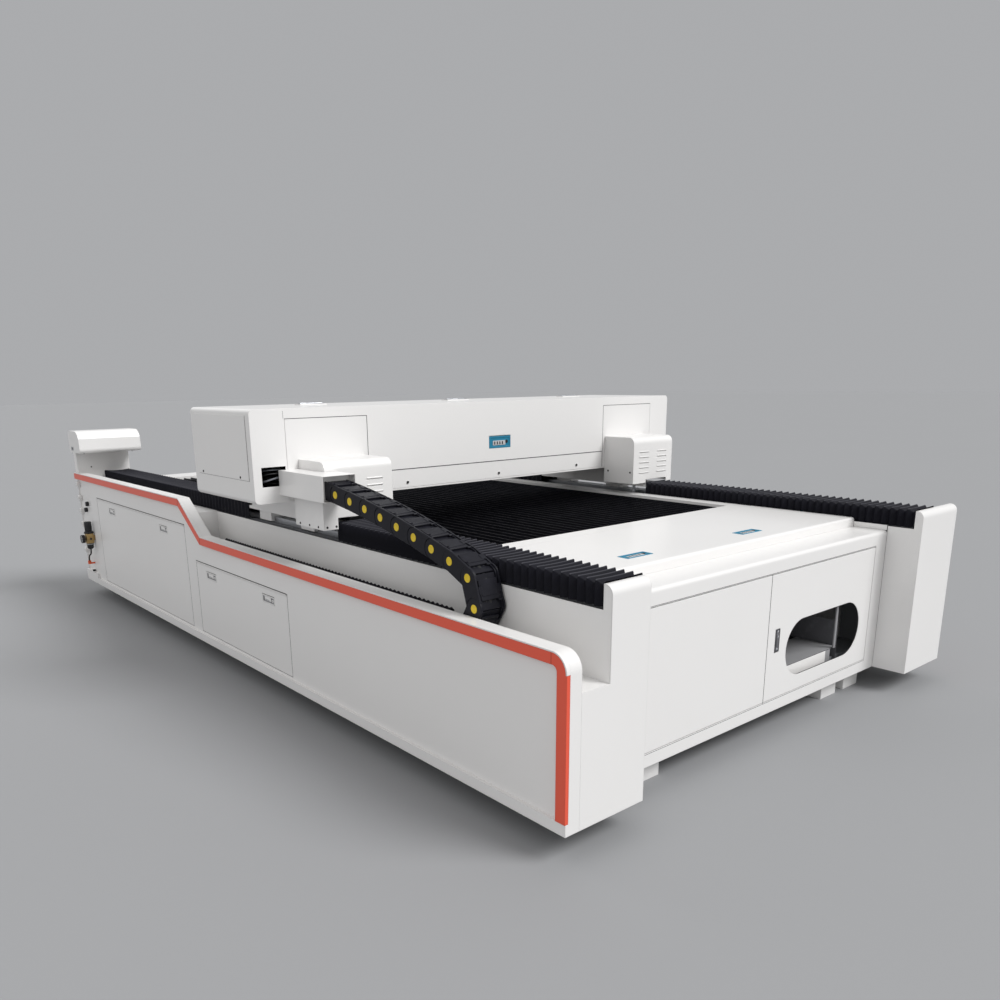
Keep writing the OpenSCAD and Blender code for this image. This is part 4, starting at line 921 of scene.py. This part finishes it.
class ENGRAVER_OT_gantry_details(bpy.types.Operator):
    """End covers, lid hinges, the cable port's sleeve and the wiring that it leads in"""

    bl_idname = "engraver.gantry_details"
    bl_label = "Gantry details"

    routes = (
        ((-1080, 1545, 756), (-1076, 1500, 757), (-1062, 1474, 764), (-1036, 1464, 772), (-1006, 1470, 776)),
        ((-1084, 1545, 772), (-1080, 1498, 778), (-1066, 1470, 786), (-1038, 1463, 788), (-1006, 1472, 786)),
        ((-1066, 1545, 765), (-1062, 1506, 766), (-1050, 1480, 770), (-1030, 1476, 764), (-1006, 1482, 760)),
        ((-1070, 1545, 792), (-1068, 1502, 796), (-1054, 1478, 800), (-1032, 1474, 800), (-1006, 1480, 799)),
        ((-1052, 1545, 752), (-1050, 1506, 751), (-1040, 1484, 752), (-1024, 1480, 751), (-1006, 1486, 750)),
    )

    def execute(self, context):
        lo, hi = corners("gantry_cover")
        for side, x, s in (("left", lo[0], -1), ("right", hi[0], 1)):
            spot = at(0, 1706, 878)
            spot[0] = x
            middle = Place(spot, side)
            shell = Shell()
            shell.slab(middle, rounded(436.0, 224.0, 4.0), [(0, -0.5), (0, 1.0), (0.8, 1.8)], 0)
            for along in (-175.0, 151.0):
                shell.screw(middle.moved(-s * along, -103.0, 1.8), 4.5, 1, 2)
            paints = "white_paint dark_steel black_plastic"
            piece(side + "_beam_end_cover", shell, paints, "gantry")
        self.hinges(hi[2])
        self.port()
        return {"FINISHED"}

    def hinges(self, top):
        """A hinge on each lid plate: two leaves, a turned knuckle in three parts and four screws."""
        shell = Shell()
        for x in (-705.0, 25.0, 746.0):
            spot = at(x, 1777, 0)
            spot[2] = top
            place = Place(spot, "up")
            shell.block(place, (-52, -18, -0.5), (52, -2, 1.2), 3, 0.6, 0)
            shell.block(place, (-52, 2, -0.5), (52, 18, 1.2), 3, 0.6, 0)
            for x0, x1 in ((-50, -18), (-16, 16), (18, 50)):
                barrel = Place(place.points([x0, 0, 2.0]), "right")
                length = x1 - x0
                shell.turned(barrel, [(2.9, 0), (3.5, 0.6), (3.5, length - 0.6), (2.9, length)], 0, 16)
            for sx in (-40, 40):
                for sy in (-10, 10):
                    shell.screw(place.moved(sx, sy, 1.2), 3.2, 0, 1)
        piece("lid_hinges", shell, "bare_steel dark_steel", "gantry")

    def port(self):
        """A sleeve of four walls and a back behind the port, painted black as shade, and cables on Catmull-Rom
        curves out of it.
        """
        shell = Shell()
        x0, x1, z0, z1, y0, y1, wall = -1095.0, -998.0, 742.0, 814.0, 1458.0, 1560.0, 3
        place = Place(at(0, 0, 0), "near")
        # Sleeve walls in black: painted shade inside the port.
        for a, b in (
            ((x0 - wall, z0 - wall, -y1), (x1 + wall, z0, -y0)),
            ((x0 - wall, z1, -y1), (x1 + wall, z1 + wall, -y0)),
            ((x0 - wall, z0, -y1), (x0, z1, -y0)),
            ((x1, z0, -y1), (x1 + wall, z1, -y0)),
            ((x0 - wall, z0 - wall, -y1 - wall), (x1 + wall, z1 + wall, -y1)),
        ):
            shell.block(place, a, b, 0.5, 0.3, 0)
        for k, route in enumerate(self.routes):
            path = curve([at(*p) for p in route], 10)
            shell.tube(path, (2.4 if k % 2 else 3.2) * MM, 1 if k in (0, 3) else 2, 12)
        piece("cable_port_wiring", shell, "window_black pale_cable hose_rubber", "gantry")


class ENGRAVER_OT_console(bpy.types.Operator):
    """Screen, keys, socket and emergency stop of the control console"""

    bl_idname = "engraver.console"
    bl_label = "Console"

    def execute(self, context):
        shell = Shell()
        screen = Place(at(-962, 3895, 792.5), "far")
        shell.block(screen, (-79, -31.5, -1.9), (79, 31.5, -0.2), 1.5, 0.5, 1)
        rim = [(0, -0.3), (0, 1.2), (0.9, 2.0), (6.0, 2.0), (8.0, 0.4), (8.0, -0.3)]
        shell.rim(screen, rounded(176, 81, 6), rim, 0)
        keys = Place(at(-852, 3895, 792.5), "far")
        shell.slab(keys, rounded(40, 76, 4), [(0, -0.3), (0, 0.6), (0.5, 1.0)], 0)
        for column in (-9, 9):
            for row in range(4):
                paint = 3 if row == 3 and column > 0 else 2
                key = keys.moved(column, -27 + 18 * row)
                shell.slab(key, rounded(13, 12, 2.5), soft_levels(0.8, 3.0, 0, 0.9), paint)
        collar = Place(at(-800, 3895, 795), "far")
        ring = [(0, -0.3), (0, 1.4), (1.4, 2.6), (12.5, 2.6), (14, 1.4), (14, -0.3)]
        shell.rim(collar, disc(25.0, 40), ring, 4)
        socket = Place(at(-1072, 3839, 757), "left")
        shield = [(0, -0.2), (0, 0.8), (0.5, 1.2), (3.5, 1.2), (4, 0.8), (4, -0.2)]
        shell.rim(socket, rounded(38, 20, 2), shield, 5)
        shell.block(socket, (-15.5, -6.5, -0.2), (15.5, 6.5, 0.5), 0.6, 0.2, 1)
        paints = "black_plastic window_black grey_plastic orange_plastic cap_plastic bare_steel"
        piece("console_controls", shell, paints, "bed")
        self.stop_button(collar)
        return {"FINISHED"}

    def stop_button(self, collar):
        """A turned mushroom head with three raised arcs on it."""
        stop = Shell()
        shank = [(13, -14), (13, -12), (10, -12), (10, 8)]
        crown = [(16.5, 8), (19, 9.6), (19, 13.5), (17.4, 16.6), (12.5, 19), (6, 19.8), (0.1, 20)]
        stop.turned(collar, shank + crown, 0, 40)
        for k in range(3):
            turn = np.radians(120 * k + np.linspace(10, 80, 5))
            arrow = curve([collar.points([11 * math.cos(a), 11 * math.sin(a), 19.3]) for a in turn], 6)
            stop.tube(arrow, 0.7 * MM, 1, 8, side=(0.0, 1.0, 0.0))
        node = "emergency_stop"
        piece("stop_button", stop, "red_plastic dial_white", node, node)


class ENGRAVER_OT_air_service(bpy.types.Operator):
    """Filter regulator with its gauge, knobs, hose, fitting and clips in the recess of the left side"""

    bl_idname = "engraver.air_service"
    bl_label = "Air service"

    def execute(self, context):
        self.regulator()
        self.knob()
        self.hose()
        self.clips()
        return {"FINISHED"}

    def regulator(self):
        """Turned bonnet, bowl, ports, gauge and two valves on a rounded block."""
        body = Shell()
        base = Place(at(-1070, 3750, 236), "up")
        body.block(base, (-20.5, -20.5, 0), (20.5, 20.5, 55), 7, 2, 0)
        bonnet = [(24, 54.5), (26, 56.5), (26, 60), (22, 65.5), (20, 67.5), (9.5, 67.5), (9.5, 60)]
        body.turned(base, bonnet, 1, 40)
        bowl = [(2.4, -36), (5.6, -36), (8.5, -34.6), (14.8, -30.5)]
        bowl += [(17.2, -24), (17.4, -5), (18.6, -4), (18.6, 0.5)]
        body.turned(base, bowl, 1, 32)
        body.turned(base, [(17.8, -8.5), (19.6, -8), (19.6, -3), (17.8, -2.5)], 4, 32)
        for facing, y in (("near", -20.5), ("far", 20.5)):
            boss = Place(base.points([0, y, 26]), facing)
            body.turned(boss, [(11, -1), (11, 5), (10, 6), (6.5, 6), (6.0, 3), (0.1, 3)], 0, 6)
            body.turned(boss, [(5.6, 2.5), (5.6, 9), (4.6, 10), (0.1, 10)], 1, 20)
        body.block(Place(at(-1045.5, 3750, 264), "left"), (-12, -14, -3.5), (12, 14, 4), 2, 0.6, 0)
        gauge = Place(at(-1096, 3750, 262), "left")
        body.turned(gauge, [(6, -5.5), (6, 0.5)], 0, 20)
        case = [(19, 0), (22, 1), (23, 3), (23, 14.5), (22.4, 17), (20.8, 17), (20.4, 15.4), (0.1, 15.4)]
        body.turned(gauge, case, 1, 40)
        body.turned(gauge, [(20.2, 15), (20.2, 15.7), (0.1, 15.7)], 2, 40)
        for a in np.radians(np.linspace(-45, 225, 10)):
            path = [gauge.points([r * math.cos(a), r * math.sin(a), 15.8]) for r in (14.5, 18.5)]
            body.tube(path, 0.45 * MM, 3, 6)
        body.tube([gauge.points([-4, -3, 16.2]), gauge.points([13, 9, 16.2])], 0.6 * MM, 3, 6)
        body.turned(gauge, [(2, 15.5), (2, 16.9), (0.1, 16.9)], 1, 16)
        for y, h in ((3785, 451), (3820, 414)):
            valve = Place(at(-1042, y, h), "left")
            body.turned(valve, [(12, 0), (12.6, 1), (12.6, 12), (11, 15), (7, 16), (0.1, 16)], 1, 48, 12, 0.5)
            body.turned(valve, [(3, 15.6), (3, 16.3), (0.1, 16.3)], 4, 16)
        paints = "service_brass black_plastic window_black dial_white bare_steel"
        piece("regulator_body", body, paints, "bed", "filter_regulator")

    def knob(self):
        """A turned cap whose side is waved into 18 grips."""
        shell = Shell()
        profile = [(8, 33), (8, 43.4), (16.5, 43.4), (18.3, 45), (18.3, 90)]
        profile += [(17, 93.4), (13, 94), (12.4, 93), (0.1, 93)]
        shell.turned(Place(at(-1070, 3750, 262), "up"), profile, 0, 72, 18, 0.6)
        piece("regulator_cap", shell, "black_plastic", "regulator_knob", "regulator_knob")

    def hose(self):
        """Two equal arcs, so that the hose leaves and enters upright: y = y0 + R(1 - cos a) and
        z = z0 - R sin a, then the same turned half round.
        """
        start, end = (3750.0, 200.0), (3810.0, 125.0)
        dy, dz = end[0] - start[0], start[1] - end[1]
        radius = (dy**2 + dz**2) / (4 * dy)
        a = np.linspace(0, 2 * math.atan2(dy, dz), 12)
        first = np.stack([start[0] + radius * (1 - np.cos(a)), start[1] - radius * np.sin(a)], -1)
        second = np.array([start[0] + end[0], start[1] + end[1]]) - first[::-1]
        path = np.array([at(-1070, y, h) for y, h in np.vstack([first, second[1:]])])
        shell = Shell()
        shell.tube(path, 4 * MM, 0, 16, side=(1.0, 0.0, 0.0))
        hose = piece("service_hose", shell, "hose_rubber", "bed", "air_hose")

    def clips(self):
        """Six rimmed blocks down the recess, the hose's fitting and the grommet at its foot."""
        shell = Shell()
        rim = [(0, -8), (0, 7), (0.5, 7.6), (0.5, 9.8), (-0.6, 9.8), (-0.8, -8)]
        for k in range(6):
            clip = Place(at(-1051, 3898, 551 - 75 * k), "left")
            shell.block(clip, (-12, -15, -9), (12, 15, 9), 5, 3, 0)
            shell.rim(clip, rounded(25.2, 9, 2), rim, 0)
        fitting = Place(at(-1070, 3810, 105), "up")
        nut = [(7.5, 0), (9, 1.2), (9, 8), (8.2, 9), (9, 10), (9, 17.5), (7, 20), (4.2, 20), (4.2, 17)]
        shell.turned(fitting, nut, 1, 28)
        shell.block(Place(at(-1056, 3810, 109), "up"), (-14, -5, -4), (14, 5, 4), 1.5, 0.8, 1)
        grommet = Place(at(-1051, 3810, 60), "up")
        shell.turned(grommet, [(8, 0), (8, 8.5), (6.6, 10), (3.2, 10), (3.2, 6)], 2, 24)
        paints = "white_paint orange_plastic black_plastic"
        piece("service_clips", shell, paints, "bed", "hose_clips")


class ENGRAVER_OT_body_details(bpy.types.Operator):
    """Joints of the trim strips, the mains inlet at the far end and the rings of the laser head"""

    bl_idname = "engraver.body_details"
    bl_label = "Body details"

    def execute(self, context):
        self.joints()
        self.inlet()
        self.head_rings()
        return {"FINISHED"}

    def joints(self):
        """A thin dark rod across the trim at each of its joints, by (y, h) of its two ends."""
        lo, hi = corners("trim_strips")
        slope = ((2358, 617), (2368.6, 584.4)), ((2152, 474), (2162.6, 441.4))
        bend = (((53.5, 474.5), (53.5, 441.5)),)
        shell = Shell()
        for side, joints in ((lo[0], slope + bend), (hi[0], slope)):
            for ends in joints:
                path = [at(0, *p) + [side, 0, 0] for p in ends]
                shell.tube(path, 0.5 * MM, 0, 8, side=(1.0, 0.0, 0.0))
        piece("trim_joints", shell, "joint_shadow", "bed")

    def inlet(self):
        """A plate with a three-pin socket and a rocker switch."""
        inlet = Shell()
        plate = Place(at(-330, 3870, 330), "far")
        inlet.slab(plate, rounded(120, 84, 5), [(0, -0.3), (0, 1.0), (0.8, 1.6)], 0)
        socket, switch = plate.moved(-26, 0), plate.moved(32, 0)
        inlet.rim(socket, rounded(40, 30, 5), [(0, 1.4), (0, 4), (1.2, 5.4), (4, 5.4), (5, 4), (5, 1.4)], 1)
        inlet.block(socket, (-14, -9, 1.4), (14, 9, 2.2), 2, 0.3, 2)
        for x in (-35, -26, -17):
            inlet.block(plate.moved(x, -1 if x == -26 else 2), (-1.2, -3, 2.0), (1.2, 3, 4.6), 0.4, 0.3, 3)
        inlet.rim(switch, rounded(26, 40, 3), [(0, 1.4), (0, 3), (1, 4), (3, 4), (3.6, 3), (3.6, 1.4)], 1)
        inlet.slab(plate.moved(32, 4), rounded(18, 24, 2), soft_levels(1.4, 5.0, 0, 1.5), 4)
        for x in (-52, 52):
            for y in (-34, 34):
                inlet.screw(plate.moved(x, y, 1.6), 3.2, 3, 1)
        paints = "grey_plastic black_plastic window_black bare_steel red_plastic"
        piece("mains_inlet", inlet, paints, "bed")

    def head_rings(self):
        """Two fluted rings and the nozzle, turned about the laser head's axis."""
        head = Shell()
        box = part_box("laser_head")
        spot = at(0, 1923, 685)
        spot[0] = (box[0].x + box[1].x) / 2
        axis = Place(spot, "up")
        for z in (-22.0, 56.0):
            head.turned(axis, [(17.5, z), (20.2, z + 1), (20.2, z + 13), (17.5, z + 14)], 0, 60, 20, 0.4)
        nozzle = [(3.4, -61.5), (4.5, -61.5), (8.6, -52), (8.6, -47), (12, -43), (12, -40.5), (8.2, -40.5)]
        head.turned(axis, nozzle, 1, 32)
        piece("head_rings", head, "black_plastic service_brass", "laser_head")


class ENGRAVER_OT_seams(bpy.types.Operator):
    """Shadow gaps round panels, lips over the side panels and the hatch, and backs behind the louvres"""

    bl_idname = "engraver.seams"
    bl_label = "Seams and lips"

    def execute(self, context):
        self.gantry_seams()
        self.bed_seams()
        return {"FINISHED"}

    def gantry_seams(self):
        """The outlines of the lid ends, the long panel and the end plates."""
        face, end = 1455.3, 1124.9
        shell = Shell()
        for s in (-1, 1):
            shell.rod(at(s * 993, face, 975), at(s * 653, face, 975), 1.1)
            shell.rod(at(s * 653, face, 975), at(s * 653, face, 692), 1.1)
            shell.rod(at(s * end, 1487.2, 990), at(s * end, 1487.2, 765.5), 0.7)
            shell.rod(at(s * end, 1487.2, 765.5), at(s * end, 1924, 765.5), 0.5)
        shell.rod(at(-649, face, 764), at(649, face, 764), 1.7)
        shell.rod(at(-997, face, 976), at(-997, face, 1002), 0.7)
        piece("gantry_seams", shell, "seam_shadow", "gantry")

    def bed_seams(self):
        """The gaps of the near end and of the side panels, with the lips and backs that go with them."""
        near, side, deep_side, edge, bottom, top = 124.3, -1049.7, -1050.1, 687.8, 41.3, 486.7
        bed, lips, backs = Shell(), Shell(), Shell()
        self.around(bed, "near", near, (-edge, bottom), (0, top), 0.8)
        for h in (bottom, top):
            bed.rod(at(0, near, h), at(edge, near, h), 0.8)
        for y0, y1, h0, h1 in ((1418.2, 2246.8, 43.3, 359.7), (2347.2, 3586.8, 43.3, 503.7)):
            self.around(bed, "left", side, (y0, h0), (y1, h1), 0.5)
            bed.rod(at(deep_side, y0, h1), at(deep_side, y1, h1), 1.1)
            lip = Place(at(-1050, (y0 + y1) / 2, h1 - 4.4), "left")
            half = (y1 - y0) / 2 - 2
            lips.block(lip, (-half, -2.8, -0.5), (half, 2.8, 3.4), 2.6, 2.6, 0)
        for s, facing in ((-1, "right"), (1, "left")):
            louvres = Place(at(s * 809, 1279, 715), "near")
            backs.block(louvres, (-128, -70, -0.8), (128, 70, 0.8), 2, 0.4, 0)
            cover = Place(at(s * 763, 190, 546), facing)
            lips.block(cover, (-64, -9.6, -1.2), (64, 9.4, 1.6), 0.5, 0.4, 0)
        piece("bed_seams", bed, "seam_shadow", "bed")
        piece("panel_lips", lips, "white_paint", "bed")
        piece("louvre_backs", backs, "white_paint", "gantry")

    def around(self, shell, facing, level, a, b, radius):
        """The four sides of a rectangle on a near or side face, each a thin rod half sunk in its seam."""
        outline = [(a[0], a[1]), (b[0], a[1]), (b[0], b[1]), (a[0], b[1]), (a[0], a[1])]
        spots = [at(u, level, v) if facing == "near" else at(level, u, v) for u, v in outline]
        for start, end in zip(spots, spots[1:]):
            shell.rod(start, end, radius)


class ENGRAVER_OT_inner_parts(bpy.types.Operator):
    """The shelf behind the end door's window, the strip beside the chain and the white edges along the trim, a
    painted highlight
    """

    bl_idname = "engraver.inner_parts"
    bl_label = "Shelf, chain guide and trim edges"

    def execute(self, context):
        self.inside_window()
        self.guide()
        self.trim_highlight_edges()
        return {"FINISHED"}

    def inside_window(self):
        """Shelf over the tray and the post, both painted grey as shade, the front fold in two parts whose right
        part is painted shade, its edge, and the side panel painted dark as shade.
        """
        shell = Shell()
        # Shelf top in the grey of painted shade; its front fold is the same sheet in white.
        shell.block(Place(at(287, 240, 123.2), "up"), (-241, -79, -1), (241, 79, 1), 2, 0.6, 1)
        shell.block(Place(at(251, 160, 101), "near"), (-205, -23, -1), (205, 22, 1), 0.8, 0.6, 0)
        # Right end of the fold in grey: painted shade.
        shell.block(Place(at(472, 160, 101), "near"), (-15.5, -23, -1), (15.5, 22, 1), 0.8, 0.6, 1)
        shell.rod(at(46, 159, 123.6), at(528, 159, 123.6), 0.9, 2)
        # Narrow post in grey: painted shade.
        shell.block(Place(at(506, 156, 297), "up"), (-7, -3, -173), (7, 3, 173), 1.5, 0.8, 1)
        # Dark side panel closing the compartment: painted shade.
        shell.block(Place(at(536, 431, 140), "up"), (-1, -269, -80), (1, 269, 80), 0.8, 0.3, 3)
        piece("tray_shelf", shell, "white_paint well_grey seam_shadow lock_grey", "bed")

    def trim_highlight_edges(self):
        """A hooked white section of (outward, inset) carried along the skirt's upper outline, a painted
         highlight on the trim's top edge; on the left it also goes round the near corner.
        """
        low, high, r, knee, face, far_end = 475.0, 618.0, 50.0, 0.32, 1062, 3919.5
        section = ((-12.5, -0.6), (0.9, -0.6), (0.9, 3.0), (0.1, 3.0), (0.1, 0.05), (-12.5, 0.05))
        turn = np.radians(np.linspace(180, 90, 13))
        shell = Shell()
        for s in (-1, 1):
            rails = []
            for out, d in section:
                bend = np.column_stack([r + (r - d) * np.cos(turn), low - r + (r - d) * np.sin(turn)])
                rise = [[2152 + knee * d, low - d], [2358 + knee * d, high - d], [far_end, high - d]]
                line = np.vstack([bend if s < 0 else [[30.0, low - d]], rise])
                rails.append([at(s * (face + out), *p) for p in line])
            shell.loft(np.array(rails).transpose(1, 0, 2))
        piece("trim_highlight_edges", shell, "white_paint", "bed")

    def guide(self):
        """A strip whose top edge is a row of teeth: its points go up and down by turns."""
        teeth, near, far, foot, base, rise = 70, 620, 2240, 374, 436.0, 6.0
        y = np.linspace(near, far, 2 * teeth + 1)
        top = base + rise * (np.arange(len(y)) % 2)
        outline = np.vstack([np.column_stack([y, top]), [[far, foot], [near, foot]]])
        rings = np.array([[at(x, *p) for p in outline] for x in (-908.9, -913.4)])
        shell = Shell()
        shell.loft(rings)
        piece("chain_guide", shell, "chain_plastic", "bed")


class ENGRAVER_OT_stage(bpy.types.Operator):
    """Pale floor, soft lights and the camera"""

    bl_idname = "engraver.stage"
    bl_label = "Stage"

    camera_at = (-2.4239, -3.2814, 1.1753)
    yaw, pitch, roll = 0.692256, -0.2668, -0.0133
    lens, shift = 30.68, (0.02135, 0.11291)
    lamps = (
        ("key", (0.34, -0.62, 0.70), 2.38, 28.0),
        ("fill", (-0.86, -0.20, 0.46), 0.30, 60.0),
        ("rim", (0.10, 0.80, 0.60), 0.30, 50.0),
    )
    sky, seen_sky = 0.62, 1.285
    sensor, clip = 36.0, (0.05, 200.0)

    def execute(self, context):
        sizes = context.scene.engraver_sizes
        colours = context.scene.engraver_colours
        self.floor(sizes.floor_size, tuple(colours.floor))
        self.sky_light(tuple(colours.floor))
        for name, toward, strength, softness in self.lamps:
            lamp = bpy.data.lights.new(name, "SUN")
            lamp.energy = strength
            lamp.angle = math.radians(softness)
            obj = bpy.data.objects.new(name + "_lamp", lamp)
            z = np.array(toward) / np.linalg.norm(toward)
            x = np.cross((0, 1, 0.01), z)
            x /= np.linalg.norm(x)
            self.stand(obj, (0, 0, 3), x, np.cross(z, x), z)
        self.camera()
        return {"FINISHED"}

    def stand(self, obj, where, x, y, z):
        """Puts an object at a spot with its three axes as the columns of its matrix."""
        bpy.context.scene.collection.objects.link(obj)
        obj.matrix_world = Matrix([[x[i], y[i], z[i], where[i]] for i in range(3)] + [[0, 0, 0, 1]])

    def floor(self, size, colour):
        """A wide thin slab whose top is at the ground, faintly mottled."""
        f = Finish("floor_paint")
        base = f.mix(f.noise(0.6, 2.0), shade(colour, 0.985), colour)
        shell = Shell()
        half = size / 2 / MM
        shell.slab(Place((0, 0, 0), "up"), rounded(half, half, 10.0), [(0, -20), (0, 0)])
        mesh = shell.mesh("floor")
        mesh.materials.append(f.surface(Base_Color=base, Roughness=0.75, Specular_IOR_Level=0.2))
        floor = bpy.data.objects.new("floor", mesh)
        bpy.context.scene.collection.objects.link(floor)

    def sky_light(self, colour):
        """An even sky; rays from the camera, mirrors and glass see the floor's colour instead."""
        world = bpy.data.worlds.new("studio")
        bpy.context.scene.world = world
        world.use_nodes = True
        world.node_tree.nodes.clear()
        f = Nodes(world.node_tree)
        camera, glossy, glass = (
            f.node("ShaderNodeLightPath", output=ray)
            for ray in ("Is Camera Ray", "Is Glossy Ray", "Is Transmission Ray")
        )
        seen = f.node("ShaderNodeMath", {"operation": "ADD", "use_clamp": True}, {0: camera + glossy, 1: glass})
        light = f.node("ShaderNodeBackground", None, {"Color": (1.0, 1.0, 1.0), "Strength": self.sky})
        view = f.node("ShaderNodeBackground", None, {"Color": shade(colour, self.seen_sky)})
        output = f.tree.nodes.new("ShaderNodeOutputWorld")
        f.feed(output.inputs["Surface"], f.node("ShaderNodeMixShader", None, {0: seen, 1: light, 2: view}))

    def camera(self):
        """Forward is (sin yaw cos pitch, cos yaw cos pitch, sin pitch); the roll turns right and up."""
        cy, sy, cp, sp = math.cos(self.yaw), math.sin(self.yaw), math.cos(self.pitch), math.sin(self.pitch)
        forward = np.array([sy * cp, cy * cp, sp])
        level = np.array([cy, -sy, 0.0])
        rise = np.cross(level, forward)
        right = level * math.cos(self.roll) + rise * math.sin(self.roll)
        up = rise * math.cos(self.roll) - level * math.sin(self.roll)
        data = bpy.data.cameras.new("camera")
        data.lens, data.sensor_width = self.lens, self.sensor
        data.shift_x, data.shift_y = self.shift
        data.clip_start, data.clip_end = self.clip
        camera = bpy.data.objects.new("camera", data)
        self.stand(camera, self.camera_at, right, up, -forward)
        bpy.context.scene.camera = camera
        bpy.context.scene.view_settings.view_transform = "Standard"


OPERATORS = (
    ENGRAVER_OT_stage,
    ENGRAVER_OT_finishes,
    ENGRAVER_OT_bellows,
    ENGRAVER_OT_drag_chain,
    ENGRAVER_OT_fasteners,
    ENGRAVER_OT_deck_latches,
    ENGRAVER_OT_side_latches,
    ENGRAVER_OT_door_lock,
    ENGRAVER_OT_gantry_details,
    ENGRAVER_OT_console,
    ENGRAVER_OT_air_service,
    ENGRAVER_OT_body_details,
    ENGRAVER_OT_seams,
    ENGRAVER_OT_inner_parts,
)


class ENGRAVER_PT_panel(bpy.types.Panel):
    """Lists the sizes, the colours and the operators"""

    bl_label = "Laser engraver"
    bl_idname = "ENGRAVER_PT_panel"
    bl_space_type = "VIEW_3D"
    bl_region_type = "UI"
    bl_category = "Engraver"

    def draw(self, context):
        for group in (context.scene.engraver_sizes, context.scene.engraver_colours):
            box = self.layout.box()
            for key in group.__annotations__:
                box.prop(group, key)
        for operator in OPERATORS:
            self.layout.operator(operator.bl_idname)


CLASSES = (EngraverSizes, EngraverColours, *OPERATORS, ENGRAVER_PT_panel)


def register():
    for cls in CLASSES:
        bpy.utils.register_class(cls)
    bpy.types.Scene.engraver_sizes = bpy.props.PointerProperty(type=EngraverSizes)
    bpy.types.Scene.engraver_colours = bpy.props.PointerProperty(type=EngraverColours)


def unregister():
    del bpy.types.Scene.engraver_colours
    del bpy.types.Scene.engraver_sizes
    for cls in reversed(CLASSES):
        bpy.utils.unregister_class(cls)


def main():
    register()
    for operator in OPERATORS:
        group, name = operator.bl_idname.split(".")
        getattr(getattr(bpy.ops, group), name)()


if __name__ == "__main__":
    main()
